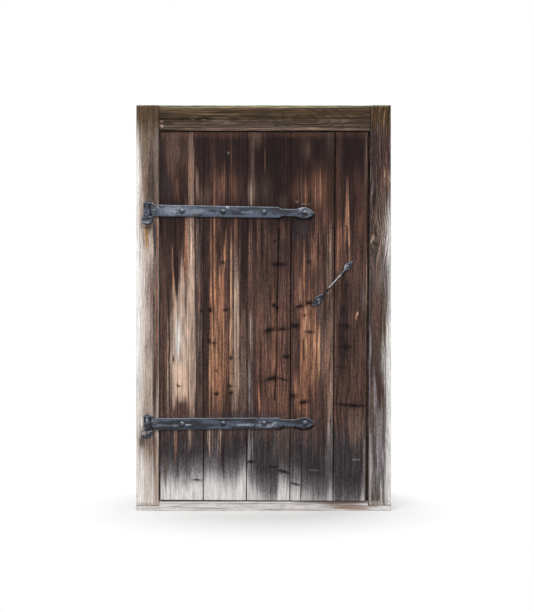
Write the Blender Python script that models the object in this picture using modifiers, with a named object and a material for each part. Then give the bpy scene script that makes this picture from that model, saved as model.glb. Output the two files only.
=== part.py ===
"""Plank door closed in its timber frame, hung on two forged strap hinges.

X runs along the wall, Y into it and Z up, in metres. The origin is the middle of the sill's underside.
Every piece hangs from an empty at the foot of the frame's face, so depths are measured from that face.
"""

import math
from collections import namedtuple

import bmesh
import bpy
from mathutils import Matrix, Vector

# Frame
FRAME_WIDTH = 1.176
FRAME_HEIGHT = 1.870
FRAME_DEPTH = 0.140
HINGE_JAMB_WIDTH = 0.107
CLOSING_JAMB_WIDTH = 0.094
CLOSING_JAMB_SPREAD = 0.0135
LINTEL_HEIGHT = 0.1205
SILL_HEIGHT = 0.045
SILL_SEAT = 0.025
SILL_NOSE_DROP = 0.009
SILL_NOSE_DEPTH = 0.026
REBATE_WIDTH = 0.022
STOP_GAP = 0.002
ARRIS = 0.003

# Joints of the frame
TENON_LENGTH = 0.060
TENON_THICKNESS = 0.040
TENON_SHOULDER = 0.025
STUB_WIDTH = 0.060
STUB_WEB = 0.006
PEG_RADIUS = 0.008
PEG_COVER = 0.030

# Leaf
LEAF_PROUD = 0.003
HINGE_GAP = 0.004
CLOSING_GAP = 0.010
HEAD_GAP = 0.005
FOOT_GAP = 0.009
LEAF_FALL = 0.005
PLANK_WIDTH = 0.1992
PLANK_THICKNESS = 0.034
PLANK_SEAM = 0.0025
TONGUE_THICKNESS = 0.010
TONGUE_LENGTH = 0.010
GROOVE_SLACK = 0.001

# Ledges
LEDGE_WIDTH = 0.105
LEDGE_THICKNESS = 0.030
LEDGE_CHAMFER = 0.006
LEDGE_END_GAP = 0.020
DOVETAIL_DEPTH = 0.011
DOVETAIL_FLARE = 0.005

# Strap hinges
UPPER_HINGE_HEIGHT = 1.383
LOWER_HINGE_HEIGHT = 0.401
UPPER_STRAP_FALL = 0.0115
LOWER_STRAP_FALL = -0.0055
AXIS_SETBACK = 0.058
STRAP_THICKNESS = 0.007
STRAP_ROOT_WIDTH = 0.055
STRAP_SHOULDER_WIDTH = 0.051
SHOULDER_LENGTH = 0.024
STRAP_NECK_WIDTH = 0.034
STRAP_NECK_LENGTH = 0.062
SPADE_LENGTH = 0.085
SPADE_WIDTH = 0.053
SPADE_POINT = 0.004
STRAP_LEVEL = 0.040
UPPER_EYE_HEIGHT = 0.064
LOWER_EYE_HEIGHT = 0.056
LOWER_EYE_LIFT = 0.0105
EYE_TAIL = 0.014

# Pintles
PIN_RADIUS = 0.010
PIN_STAND = 0.009
BOSS_WIDTH = 0.054
BOSS_HEIGHT = 0.038
BOSS_FRONT = 0.018
BOSS_ROUNDING = 0.004
SPIKE_LENGTH = 0.085
SPIKE_SIDE = 0.020
SPIKE_TIP = 0.006
LOWER_BOSS_GAP = 0.001

# Bolts of the straps
STRAP_BOLTS = 4
FIRST_BOLT = 0.160
BOLT_PITCH = 0.1885
SPADE_BOLT = 0.044
BOLT_RADIUS = 0.005
BOLT_HEAD_RADIUS = 0.0125
BOLT_HEAD_HEIGHT = 0.0065
BOLT_NECK_SIDE = 0.0115
BOLT_END = 0.005
WASHER_RADIUS = 0.0145
WASHER_THICKNESS = 0.0025
NUT_SIDE = 0.018
NUT_THICKNESS = 0.009

# Handle
HANDLE_HEIGHT = 1.046
HANDLE_FROM_EDGE = 0.160
HANDLE_ANGLE = 48.5
HANDLE_NAIL_SPACING = 0.204
UPPER_LEAF_TIP = 0.038
UPPER_LEAF_HEEL = 0.022
UPPER_LEAF_WIDTH = 0.030
LOWER_LEAF_TIP = 0.040
LOWER_LEAF_HEEL = 0.036
LOWER_LEAF_WIDTH = 0.036
LEAF_PLATE = 0.004
LEAF_NECK_WIDTH = 0.011
GRIP_RADIUS = 0.006
GRIP_END_RADIUS = 0.0042
GRIP_STAND = 0.040
GRIP_SWEEP = 0.040
NAIL_RADIUS = 0.0026
NAIL_HEAD_RADIUS = 0.0075
NAIL_HEAD_HEIGHT = 0.0035
NAIL_CLENCH = 0.022
NAIL_BEND = 0.006

# Clearances
FIT = 0.0003
PIN_PLAY = 0.0006
HOLE_PLAY = 0.0004

# Places that follow from the sizes
LEFT = -FRAME_WIDTH / 2
RIGHT = FRAME_WIDTH / 2
LEAF_FRONT = -LEAF_PROUD
LEAF_BACK = LEAF_FRONT + PLANK_THICKNESS
REBATE_DEPTH = LEAF_BACK + STOP_GAP
HINGE_REBATE = LEFT + HINGE_JAMB_WIDTH
LINTEL_REBATE = FRAME_HEIGHT - LINTEL_HEIGHT
LEAF_LEFT = HINGE_REBATE + HINGE_GAP
LEAF_HEAD = LINTEL_REBATE - HEAD_GAP
LEAF_FOOT = SILL_HEIGHT + FOOT_GAP
EYE_BORE = PIN_RADIUS + PIN_PLAY
EYE_RADIUS = EYE_BORE + STRAP_THICKNESS
STRAP_BACK = LEAF_FRONT - FIT
STRAP_FRONT = STRAP_BACK - STRAP_THICKNESS
STRAP_LENGTH = FIRST_BOLT + (STRAP_BOLTS - 1) * BOLT_PITCH + SPADE_BOLT
AXIS_X = LEAF_LEFT - AXIS_SETBACK
AXIS_Y = STRAP_BACK - EYE_RADIUS
LEDGE_BACK = LEAF_BACK + LEDGE_THICKNESS
TENON_FRONT = (REBATE_DEPTH + FRAME_DEPTH - TENON_THICKNESS) / 2
TENON_BACK = TENON_FRONT + TENON_THICKNESS

Hinge = namedtuple("Hinge", "height fall eye_height eye_lift boss_gap")
HINGES = {
    "upper": Hinge(UPPER_HINGE_HEIGHT, UPPER_STRAP_FALL, UPPER_EYE_HEIGHT, 0.0, FIT),
    "lower": Hinge(LOWER_HINGE_HEIGHT, LOWER_STRAP_FALL, LOWER_EYE_HEIGHT, LOWER_EYE_LIFT, LOWER_BOSS_GAP),
}

WOOD_FRAME = ((0.34, 0.28, 0.22), 0.85, 0.0)
WOOD_LEAF = ((0.20, 0.13, 0.09), 0.8, 0.0)
WOOD_INSIDE = ((0.42, 0.30, 0.19), 0.8, 0.0)
IRON = ((0.13, 0.14, 0.15), 0.55, 0.9)
STEEL = ((0.22, 0.22, 0.22), 0.5, 0.9)


def clear_scene():
    for obj in list(bpy.data.objects):
        bpy.data.objects.remove(obj, do_unlink=True)


def new_collection(name):
    group = bpy.data.collections.new(name)
    bpy.context.scene.collection.children.link(group)
    return group


def new_empty(name, place, parent=None):
    empty = bpy.data.objects.new(name, None)
    empty.location = place
    empty.parent = parent
    DOOR.objects.link(empty)
    return empty


clear_scene()
DOOR = new_collection("plank_door")
CUTTERS = new_collection("cutters")
FACE = new_empty("frame_face", (0.0, -FRAME_DEPTH / 2, 0.0))


def add_object(name, data, place=(0.0, 0.0, 0.0)):
    """A working shape, kept out of the picture until it is finished as a piece."""
    obj = bpy.data.objects.new(name, data)
    obj.location = place
    obj.parent = FACE
    obj.hide_render = True
    obj.display_type = "WIRE"
    CUTTERS.objects.link(obj)
    return obj


def finish(obj, look, smooth=False):
    """Shows a working shape as one piece of the door, in a material of its own."""
    colour, roughness, metallic = look
    CUTTERS.objects.unlink(obj)
    DOOR.objects.link(obj)
    obj.hide_render = False
    obj.display_type = "TEXTURED"
    material = bpy.data.materials.new(obj.name)
    material.use_nodes = True
    shader = material.node_tree.nodes["Principled BSDF"]
    shader.inputs["Base Color"].default_value = (*colour, 1.0)
    shader.inputs["Roughness"].default_value = roughness
    shader.inputs["Metallic"].default_value = metallic
    obj.data.materials.clear()
    obj.data.materials.append(material)
    for polygon in obj.data.polygons:
        polygon.use_smooth = smooth
    return obj


def from_bmesh(name, bm, place=(0.0, 0.0, 0.0)):
    bmesh.ops.recalc_face_normals(bm, faces=bm.faces)
    mesh = bpy.data.meshes.new(name)
    bm.to_mesh(mesh)
    bm.free()
    return add_object(name, mesh, place)


def block(name, low, high):
    """A box between two opposite corners, with its origin at its centre."""
    size = Vector(high) - Vector(low)
    bm = bmesh.new()
    bmesh.ops.create_cube(bm, size=1.0)
    bmesh.ops.scale(bm, vec=size, verts=bm.verts)
    return from_bmesh(name, bm, Vector(low) + size / 2)


def loft(name, first, last):
    """A bar between two outlines with equally many corners."""
    bm = bmesh.new()
    near = [bm.verts.new(point) for point in first]
    far = [bm.verts.new(point) for point in last]
    bm.faces.new(near)
    bm.faces.new(far)
    for i in range(len(near)):
        j = (i + 1) % len(near)
        bm.faces.new((near[i], near[j], far[j], far[i]))
    return from_bmesh(name, bm)


def drum(name, radius, start, end, sides=24, far_radius=None):
    """A round bar, or a tapered one, between two points."""
    axis = Vector(end) - Vector(start)
    bm = bmesh.new()
    bmesh.ops.create_cone(
        bm,
        cap_ends=True,
        segments=sides,
        radius1=radius,
        radius2=radius if far_radius is None else far_radius,
        depth=axis.length,
    )
    turn = axis.to_track_quat("Z", "Y").to_matrix().to_4x4()
    bmesh.ops.transform(bm, matrix=turn, verts=bm.verts)
    return from_bmesh(name, bm, (Vector(start) + Vector(end)) / 2)


def solid(obj):
    """The finished mesh of a curve, or of an object with modifiers, with its caps welded on."""
    bpy.context.view_layer.update()
    graph = bpy.context.evaluated_depsgraph_get()
    mesh = bpy.data.meshes.new_from_object(obj.evaluated_get(graph))
    name = obj.name
    place = obj.location.copy()
    bpy.data.objects.remove(obj, do_unlink=True)
    bm = bmesh.new()
    bm.from_mesh(mesh)
    bpy.data.meshes.remove(mesh)
    bmesh.ops.remove_doubles(bm, verts=bm.verts, dist=1e-5)
    return from_bmesh(name, bm, place)


def sheet(name, outline, thickness, upright=True):
    """A plate cut to an outline in X and Z, or in X and Y, centred on its thickness."""
    curve = bpy.data.curves.new(name, "CURVE")
    curve.dimensions = "2D"
    curve.fill_mode = "BOTH"
    curve.extrude = thickness / 2
    spline = curve.splines.new("POLY")
    spline.points.add(len(outline) - 1)
    for point, (across, along) in zip(spline.points, outline):
        point.co = (across, along, 0.0, 1.0)
    spline.use_cyclic_u = True
    obj = solid(add_object(name, curve))
    if upright:
        obj.data.transform(Matrix.Rotation(math.pi / 2, 4, "X"))
    return obj


def rod(name, path, radii, sides):
    """A round bar that follows a smooth path."""
    curve = bpy.data.curves.new(name, "CURVE")
    curve.dimensions = "3D"
    curve.bevel_depth = 1.0
    curve.bevel_resolution = sides // 4 - 1
    curve.use_fill_caps = True
    spline = curve.splines.new("POLY")
    spline.points.add(len(path) - 1)
    for point, place, radius in zip(spline.points, path, radii):
        point.co = (*place, 1.0)
        point.radius = radius
    return solid(add_object(name, curve))


def revolve(name, profile, steps=24):
    """A turned shape about Z from a profile that runs from its top to its bottom."""
    bm = bmesh.new()
    points = [bm.verts.new((radius, 0.0, height)) for radius, height in profile]
    for upper, lower in zip(points, points[1:]):
        bm.edges.new((upper, lower))
    obj = from_bmesh(name, bm)
    screw = obj.modifiers.new("turn", "SCREW")
    screw.axis = "Z"
    screw.steps = steps
    screw.render_steps = steps
    screw.use_merge_vertices = True
    screw.merge_threshold = 1e-5
    return solid(obj)


def boolean(target, tool, operation):
    modifier = target.modifiers.new(f"{operation.lower()} {tool.name}", "BOOLEAN")
    modifier.operation = operation
    modifier.solver = "EXACT"
    modifier.object = tool


def cut(target, *tools):
    for tool in tools:
        boolean(target, tool, "DIFFERENCE")


def join(target, *tools):
    for tool in tools:
        boolean(target, tool, "UNION")


def soften(obj, width, segments=1, angle=40):
    """Takes the sharp arrises off."""
    bevel = obj.modifiers.new("arris", "BEVEL")
    bevel.width = width
    bevel.segments = segments
    bevel.limit_method = "ANGLE"
    bevel.angle_limit = math.radians(angle)


def closing_rebate(z):
    """Inner edge of the closing jamb's face, which leans outward towards its head."""
    rise = (z - SILL_SEAT) / (FRAME_HEIGHT - SILL_SEAT)
    return RIGHT - CLOSING_JAMB_WIDTH - CLOSING_JAMB_SPREAD * (1 - rise)


def leaf_right(z):
    return closing_rebate(z) - CLOSING_GAP


def jamb_section(outer, rebate, inward, z):
    """Corners of a jamb at one height: a narrow face in front, and the stop behind the rebate."""
    stop = rebate + inward * REBATE_WIDTH
    corners = [
        (outer + inward * ARRIS, 0.0),
        (rebate - inward * ARRIS, 0.0),
        (rebate, ARRIS),
        (rebate, REBATE_DEPTH),
        (stop, REBATE_DEPTH),
        (stop, FRAME_DEPTH),
        (outer, FRAME_DEPTH),
        (outer, ARRIS),
    ]
    return [(x, y, z) for x, y in corners]


def lintel_tenon(edge, inward, play):
    """Tenon of the lintel at one jamb, or its mortise when it is made larger by some play."""
    root = edge + inward * (REBATE_WIDTH + TENON_SHOULDER)
    tip = edge + inward * (REBATE_WIDTH - TENON_LENGTH - play)
    low = LINTEL_REBATE - REBATE_WIDTH + TENON_SHOULDER - play
    high = FRAME_HEIGHT - TENON_SHOULDER + play
    return block(
        "lintel_tenon",
        (min(root, tip), TENON_FRONT - play, low),
        (max(root, tip), TENON_BACK + play, high),
    )


def stub_tenon(centre, play):
    """Tenon under a jamb, or its mortise in the seat of the sill."""
    return block(
        "stub_tenon",
        (centre - STUB_WIDTH / 2 - play, TENON_FRONT - play, STUB_WEB - play),
        (centre + STUB_WIDTH / 2 + play, TENON_BACK + play, SILL_SEAT + STUB_WIDTH),
    )


def peg_hole(edge, inward, radius, start):
    """Round bar through the middle of a lintel tenon, from some depth to behind the frame."""
    x = edge + inward * (REBATE_WIDTH - TENON_LENGTH / 2)
    z = (LINTEL_REBATE - REBATE_WIDTH + FRAME_HEIGHT) / 2
    return drum("peg_hole", radius, (x, start, z), (x, FRAME_DEPTH + PEG_RADIUS, z), 16)


def build_jamb(name, outer, rebate_foot, rebate_head, inward, stub_centre):
    jamb = loft(
        name,
        jamb_section(outer, rebate_foot, inward, SILL_SEAT + FIT),
        jamb_section(outer, rebate_head, inward, FRAME_HEIGHT),
    )
    join(jamb, stub_tenon(stub_centre, 0.0))
    cut(
        jamb,
        lintel_tenon(rebate_head, inward, FIT),
        peg_hole(rebate_head, inward, PEG_RADIUS + FIT, PEG_COVER),
    )
    return finish(jamb, WOOD_FRAME)


def build_lintel(hinge_edge, closing_edge):
    """Rail between the jambs; its front runs to their faces and its back stops at their stops."""
    low = LINTEL_REBATE - REBATE_WIDTH

    def section(shift):
        corners = [
            (ARRIS, FRAME_HEIGHT),
            (0.0, FRAME_HEIGHT - ARRIS),
            (0.0, LINTEL_REBATE + ARRIS),
            (ARRIS, LINTEL_REBATE),
            (REBATE_DEPTH, LINTEL_REBATE),
            (REBATE_DEPTH, low),
            (FRAME_DEPTH, low),
            (FRAME_DEPTH, FRAME_HEIGHT),
        ]
        return [(shift(z), y, z) for y, z in corners]

    lintel = loft(
        "lintel",
        section(lambda z: hinge_edge + FIT),
        section(lambda z: closing_rebate(z) - FIT),
    )
    beyond = REBATE_WIDTH + FIT
    over = TENON_LENGTH
    behind = (REBATE_DEPTH - FIT, FRAME_DEPTH + over)
    tall = (low - over, FRAME_HEIGHT + over)
    cut(
        lintel,
        block("hinge_stop_notch", (hinge_edge - over, behind[0], tall[0]), (hinge_edge + beyond, behind[1], tall[1])),
        block(
            "closing_stop_notch",
            (closing_rebate(low) - beyond, behind[0], tall[0]),
            (closing_edge + over, behind[1], tall[1]),
        ),
    )
    for edge, inward in ((hinge_edge, 1), (closing_edge, -1)):
        join(lintel, lintel_tenon(edge, inward, 0.0))
        cut(lintel, peg_hole(edge, inward, PEG_RADIUS + FIT, 0.0))
    return finish(lintel, WOOD_FRAME)


def build_sill(hinge_edge, closing_edge, stub_centres):
    """Bottom rail with a stop behind the leaf, a sloping nose and a seat under each jamb."""
    stop_top = SILL_HEIGHT + REBATE_WIDTH
    corners = [
        (0.0, 0.0),
        (0.0, SILL_HEIGHT - SILL_NOSE_DROP),
        (SILL_NOSE_DEPTH, SILL_HEIGHT),
        (REBATE_DEPTH, SILL_HEIGHT),
        (REBATE_DEPTH, stop_top),
        (FRAME_DEPTH, stop_top),
        (FRAME_DEPTH, 0.0),
    ]
    sill = loft(
        "sill",
        [(LEFT, y, z) for y, z in corners],
        [(RIGHT, y, z) for y, z in corners],
    )
    over = SILL_HEIGHT
    for edge, outer, inward, centre in (
        (hinge_edge, LEFT, 1, stub_centres[0]),
        (closing_edge, RIGHT, -1, stub_centres[1]),
    ):
        face = edge + inward * FIT
        stop = edge + inward * (REBATE_WIDTH + FIT)
        far = outer - inward * over
        cut(
            sill,
            block("seat_front", (min(face, far), -over, SILL_SEAT), (max(face, far), FRAME_DEPTH / 2, stop_top + over)),
            block(
                "seat_back",
                (min(stop, far), REBATE_DEPTH - FIT, SILL_SEAT),
                (max(stop, far), FRAME_DEPTH + over, stop_top + over),
            ),
            stub_tenon(centre, FIT),
        )
    return finish(sill, WOOD_FRAME)


def build_pegs(hinge_edge, closing_edge):
    z = (LINTEL_REBATE - REBATE_WIDTH + FRAME_HEIGHT) / 2
    for name, edge, inward in (
        ("lintel_peg_hinge", hinge_edge, 1),
        ("lintel_peg_closing", closing_edge, -1),
    ):
        x = edge + inward * (REBATE_WIDTH - TENON_LENGTH / 2)
        peg = drum(name, PEG_RADIUS, (x, PEG_COVER + FIT, z), (x, FRAME_DEPTH, z), 16)
        finish(peg, WOOD_INSIDE, smooth=True)


def build_frame():
    foot_edge = closing_rebate(SILL_SEAT)
    head_edge = closing_rebate(FRAME_HEIGHT)
    stub_centres = ((LEFT + HINGE_REBATE) / 2, (foot_edge + RIGHT) / 2)
    hinge_jamb = build_jamb("hinge_jamb", LEFT, HINGE_REBATE, HINGE_REBATE, 1, stub_centres[0])
    build_jamb("closing_jamb", RIGHT, foot_edge, head_edge, -1, stub_centres[1])
    build_lintel(HINGE_REBATE, head_edge)
    build_sill(HINGE_REBATE, foot_edge, stub_centres)
    build_pegs(HINGE_REBATE, head_edge)
    return hinge_jamb


def seam_share(count):
    """Where the seams and the two edges lie along the foot of the leaf, as shares of its width."""
    width = leaf_right(LEAF_FOOT) - LEAF_LEFT
    return [i * PLANK_WIDTH / width for i in range(count)] + [1.0]


def plank_section(left, right, z, grooved, tongued):
    middle = (LEAF_FRONT + LEAF_BACK) / 2
    front = middle - TONGUE_THICKNESS / 2
    back = middle + TONGUE_THICKNESS / 2
    corners = [(left + ARRIS, LEAF_FRONT), (right - ARRIS, LEAF_FRONT), (right, LEAF_FRONT + ARRIS)]
    if tongued:
        tip = right + TONGUE_LENGTH
        corners += [(right, front), (tip, front), (tip, back), (right, back)]
    corners += [(right, LEAF_BACK), (left, LEAF_BACK)]
    if grooved:
        floor = left - PLANK_SEAM + TONGUE_LENGTH + GROOVE_SLACK
        corners += [(left, back + FIT), (floor, back + FIT), (floor, front - FIT), (left, front - FIT)]
    corners.append((left, LEAF_FRONT + ARRIS))
    return [(x, y, z(x)) for x, y in corners]


def build_planks(axis):
    """Boards of the leaf, which fan out a little towards the head to follow the closing jamb."""
    foot_width = leaf_right(LEAF_FOOT) - LEAF_LEFT
    head_width = leaf_right(LEAF_HEAD) - LEAF_LEFT
    count = max(2, round(foot_width / PLANK_WIDTH))
    shares = seam_share(count)
    planks = []

    def foot(x):
        return LEAF_FOOT - LEAF_FALL * (x - LEAF_LEFT) / foot_width

    def head(x):
        return LEAF_HEAD

    for i in range(count):
        first = i == 0
        last = i == count - 1
        sections = []
        for width, level in ((foot_width, foot), (head_width, head)):
            left = LEAF_LEFT + shares[i] * width + (0.0 if first else PLANK_SEAM / 2)
            right = LEAF_LEFT + shares[i + 1] * width - (0.0 if last else PLANK_SEAM / 2)
            sections.append(plank_section(left, right, level, not first, not last))
        planks.append(loft(f"plank_{i + 1}", *sections))
    return [hang(finish(plank, WOOD_LEAF), axis) for plank in planks]


def hang(obj, axis):
    """Fastens a piece of the leaf to the hinge line without moving it."""
    obj.parent = axis
    obj.matrix_parent_inverse = Matrix.Translation(-axis.location)
    return obj


def ledge_section(height, play, deep, reach, chamfer):
    """Dovetailed batten across the back of the planks, at one end."""
    neck = LEDGE_WIDTH / 2 - play
    flare = neck + DOVETAIL_FLARE
    corners = [
        (LEAF_BACK - deep, height - flare),
        (LEAF_BACK, height - neck),
        (reach - chamfer, height - neck),
        (reach, height - neck + chamfer),
        (reach, height + neck - chamfer),
        (reach - chamfer, height + neck),
        (LEAF_BACK, height + neck),
        (LEAF_BACK - deep, height + flare),
    ]
    return corners


def build_ledge(name, height, holes, axis):
    left = HINGE_REBATE + REBATE_WIDTH + LEDGE_END_GAP
    right = closing_rebate(height) - REBATE_WIDTH - LEDGE_END_GAP
    section = ledge_section(height, FIT, DOVETAIL_DEPTH - FIT, LEDGE_BACK, LEDGE_CHAMFER)
    ledge = loft(name, [(left, y, z) for y, z in section], [(right, y, z) for y, z in section])
    cut(ledge, *holes)
    return hang(finish(ledge, WOOD_INSIDE), axis)


def ledge_groove(height):
    """Dovetail groove that runs out through both edges of the leaf."""
    section = ledge_section(height, 0.0, DOVETAIL_DEPTH, LEDGE_BACK, LEDGE_CHAMFER)
    return loft(
        "ledge_groove",
        [(LEAF_LEFT - LEDGE_WIDTH, y, z) for y, z in section],
        [(RIGHT + LEDGE_WIDTH, y, z) for y, z in section],
    )


def strap_half_width(x):
    """Half the width of a strap at a distance from the hinge line."""
    spade = STRAP_LENGTH - SPADE_LENGTH
    neck = spade - STRAP_NECK_LENGTH
    shoulder = neck - SHOULDER_LENGTH
    if x <= shoulder:
        return (STRAP_ROOT_WIDTH + (STRAP_SHOULDER_WIDTH - STRAP_ROOT_WIDTH) * x / shoulder) / 2
    if x <= neck:
        turn = 0.5 - 0.5 * math.cos(math.pi * (x - shoulder) / SHOULDER_LENGTH)
        return (STRAP_SHOULDER_WIDTH + (STRAP_NECK_WIDTH - STRAP_SHOULDER_WIDTH) * turn) / 2
    if x <= spade:
        return STRAP_NECK_WIDTH / 2
    along = (x - spade) / SPADE_LENGTH
    belly = SPADE_BOLT / SPADE_LENGTH
    widest = 1 - belly
    if along <= widest:
        swell = math.sin(math.pi / 2 * along / widest)
        return (STRAP_NECK_WIDTH + (SPADE_WIDTH - STRAP_NECK_WIDTH) * swell) / 2
    taper = (along - widest) / belly
    return (SPADE_WIDTH - (SPADE_WIDTH - SPADE_POINT) * taper ** 1.6) / 2


def strap_drop(x, fall):
    """How far the centre line of a strap has dropped: level past the boss, then a steady fall."""
    return fall * max(0.0, x - STRAP_LEVEL) / (STRAP_LENGTH - STRAP_LEVEL)


def strap_outline(fall):
    """Outline of a strap from its root to its point."""
    spade = STRAP_LENGTH - SPADE_LENGTH
    neck = spade - STRAP_NECK_LENGTH
    stations = [EYE_RADIUS - FIT, STRAP_LEVEL]
    stations += [neck - SHOULDER_LENGTH + SHOULDER_LENGTH * i / 6 for i in range(7)]
    stations += [spade + SPADE_LENGTH * i / 16 for i in range(17)]

    def edge(side):
        return [(x, side * strap_half_width(x) - strap_drop(x, fall)) for x in stations]

    return edge(-1) + edge(1)[::-1]


def eye_outline():
    """The rolled eye seen along the pin: tangent to the strap's back, curled over towards the front."""
    closed = math.radians(28)
    steps = 30
    sweep = [math.pi / 2 + (1.5 * math.pi + closed) * i / steps for i in range(steps + 1)]
    outer = [(EYE_RADIUS * math.cos(a), EYE_RADIUS * math.sin(a)) for a in sweep]
    inner = [(EYE_BORE * math.cos(a), EYE_BORE * math.sin(a)) for a in reversed(sweep)]
    tail = EYE_RADIUS + EYE_TAIL
    return outer + inner + [(tail, EYE_BORE), (tail, EYE_RADIUS)]


def bolt_places(hinge):
    reach = [FIRST_BOLT + i * BOLT_PITCH for i in range(STRAP_BOLTS)]
    return [(AXIS_X + x, hinge.height - strap_drop(x, hinge.fall)) for x in reach]


def eye_bottom(hinge):
    return hinge.height - STRAP_ROOT_WIDTH / 2 + hinge.eye_lift


def boss_top(hinge):
    return hinge.height - STRAP_ROOT_WIDTH / 2 - hinge.boss_gap


def build_strap(name, hinge, places, axis):
    strap = sheet(name, strap_outline(hinge.fall), STRAP_THICKNESS)
    strap.location = (AXIS_X, (STRAP_FRONT + STRAP_BACK) / 2, hinge.height)
    eye = sheet("rolled_eye", eye_outline(), hinge.eye_height, upright=False)
    eye.location = (AXIS_X, AXIS_Y, eye_bottom(hinge) + hinge.eye_height / 2)
    join(strap, eye)
    half = BOLT_NECK_SIDE / 2 + HOLE_PLAY
    for x, z in places:
        hole = block(
            "square_hole",
            (x - half, STRAP_FRONT - STRAP_THICKNESS, z - half),
            (x + half, STRAP_BACK + STRAP_THICKNESS, z + half),
        )
        cut(strap, hole)
    return hang(finish(strap, IRON), axis)


def build_pintle(name, hinge):
    """Boss against the jamb with an upright pin for the eye and a square spike driven into the wood."""
    top = boss_top(hinge)
    radius = BOSS_WIDTH / 2
    straight = max(BOSS_HEIGHT - radius, BOSS_ROUNDING)
    arc = [math.pi + math.pi * i / 16 for i in range(17)]
    outline = [(-radius, 0.0)]
    outline += [(radius * math.cos(a), -straight + radius * math.sin(a)) for a in arc]
    outline.append((radius, 0.0))
    front = AXIS_Y - BOSS_FRONT
    boss = sheet(name, outline, -front - FIT)
    boss.location = (AXIS_X, (front - FIT) / 2, top)
    soften(boss, BOSS_ROUNDING, 2)
    pin_top = eye_bottom(hinge) + hinge.eye_height + PIN_STAND
    pin = drum("pin", PIN_RADIUS, (AXIS_X, AXIS_Y, top - BOSS_HEIGHT / 2), (AXIS_X, AXIS_Y, pin_top))
    soften(pin, PIN_RADIUS / 3, 2)
    join(boss, pin, spike(top, 0.0))
    return finish(boss, IRON)


def spike(top, play):
    """Tapered square spike of a pintle, or its hole in the jamb when made larger by some play."""
    z = top - BOSS_HEIGHT / 2
    corner = math.sqrt(2) / 2
    obj = drum(
        "spike",
        (SPIKE_SIDE + 2 * play) * corner,
        (AXIS_X, -BOSS_ROUNDING, z),
        (AXIS_X, SPIKE_LENGTH + 2 * play, z),
        4,
        (SPIKE_TIP + 2 * play) * corner,
    )
    return obj


def bolt_mesh():
    """Coach bolt with its head up: a low dome, a square neck and a round shank."""
    length = LEDGE_BACK - STRAP_FRONT + WASHER_THICKNESS + NUT_THICKNESS + 4 * FIT + BOLT_END
    rounds = [math.pi / 2 * i / 6 for i in range(7)]
    profile = [(BOLT_HEAD_RADIUS * math.sin(a), FIT + BOLT_HEAD_HEIGHT * math.cos(a)) for a in rounds]
    profile += [(BOLT_RADIUS, FIT), (BOLT_RADIUS, BOLT_RADIUS / 4 - length), (BOLT_RADIUS * 0.75, -length)]
    profile.append((0.0, -length))
    bolt = revolve("bolt", profile)
    half = BOLT_NECK_SIDE / 2
    join(bolt, block("square_neck", (-half, -half, -STRAP_THICKNESS), (half, half, BOLT_HEAD_HEIGHT / 3)))
    return solid(bolt)


def nut_mesh():
    half = NUT_SIDE / 2
    nut = block("nut", (-half, -half, 0.0), (half, half, NUT_THICKNESS))
    soften(nut, NUT_THICKNESS / 8)
    reach = NUT_THICKNESS * 2
    cut(nut, drum("nut_bore", BOLT_RADIUS + FIT, (0, 0, -reach), (0, 0, reach)))
    return solid(nut)


def washer_mesh():
    bore = BOLT_RADIUS + HOLE_PLAY
    profile = [
        (bore, WASHER_THICKNESS),
        (WASHER_RADIUS, WASHER_THICKNESS),
        (WASHER_RADIUS, 0.0),
        (bore, 0.0),
        (bore, WASHER_THICKNESS),
    ]
    return revolve("washer", profile)


def place_copy(name, pattern, spot, spin, axis, smooth):
    """One more piece of a pattern, its Z axis turned to the front."""
    copy = add_object(name, pattern.data.copy(), spot)
    copy.rotation_euler = (math.pi / 2, 0.0, 0.0)
    copy.data.transform(Matrix.Rotation(spin, 4, "Z"))
    return hang(finish(copy, STEEL, smooth), axis)


def build_bolts(places, axis):
    bolt = bolt_mesh()
    nut = nut_mesh()
    washer = washer_mesh()
    washer_back = LEDGE_BACK + FIT + WASHER_THICKNESS
    nut_back = washer_back + FIT + NUT_THICKNESS
    for level, spots in places.items():
        for i, (x, z) in enumerate(spots, 1):
            place_copy(f"bolt_{level}_{i}", bolt, (x, STRAP_FRONT, z), 0.0, axis, True)
            place_copy(f"washer_{level}_{i}", washer, (x, washer_back, z), 0.0, axis, True)
            place_copy(f"nut_{level}_{i}", nut, (x, nut_back, z), math.radians(17 * i), axis, False)


def bolt_hole(x, z):
    return drum("bolt_hole", BOLT_RADIUS + HOLE_PLAY, (x, STRAP_FRONT, z), (x, LEDGE_BACK + BOLT_END, z))


def handle_place(along):
    """A spot on the centre line of the handle, measured up it from its middle."""
    tilt = math.radians(HANDLE_ANGLE)
    x = leaf_right(HANDLE_HEIGHT) - HANDLE_FROM_EDGE
    return x + along * math.cos(tilt), HANDLE_HEIGHT + along * math.sin(tilt)


def leaf_outline(nail, way, tip, heel, width):
    """Pointed leaf about a nail, from its narrow heel at the grip to its tip."""
    neck = LEAF_NECK_WIDTH / 2
    steps = 8
    rear = []
    for i in range(steps):
        swell = math.sin(math.pi / 2 * i / steps)
        rear.append((-heel * (1 - i / steps), neck + (width / 2 - neck) * swell))
    point = []
    for i in range(steps + 1):
        share = i / steps
        point.append((tip * share, width / 2 * (1 - share ** 1.5) + FIT))
    half = rear + point
    outline = half + [(x, -z) for x, z in reversed(half)]
    return [(nail + way * x, way * z) for x, z in outline]


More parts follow.
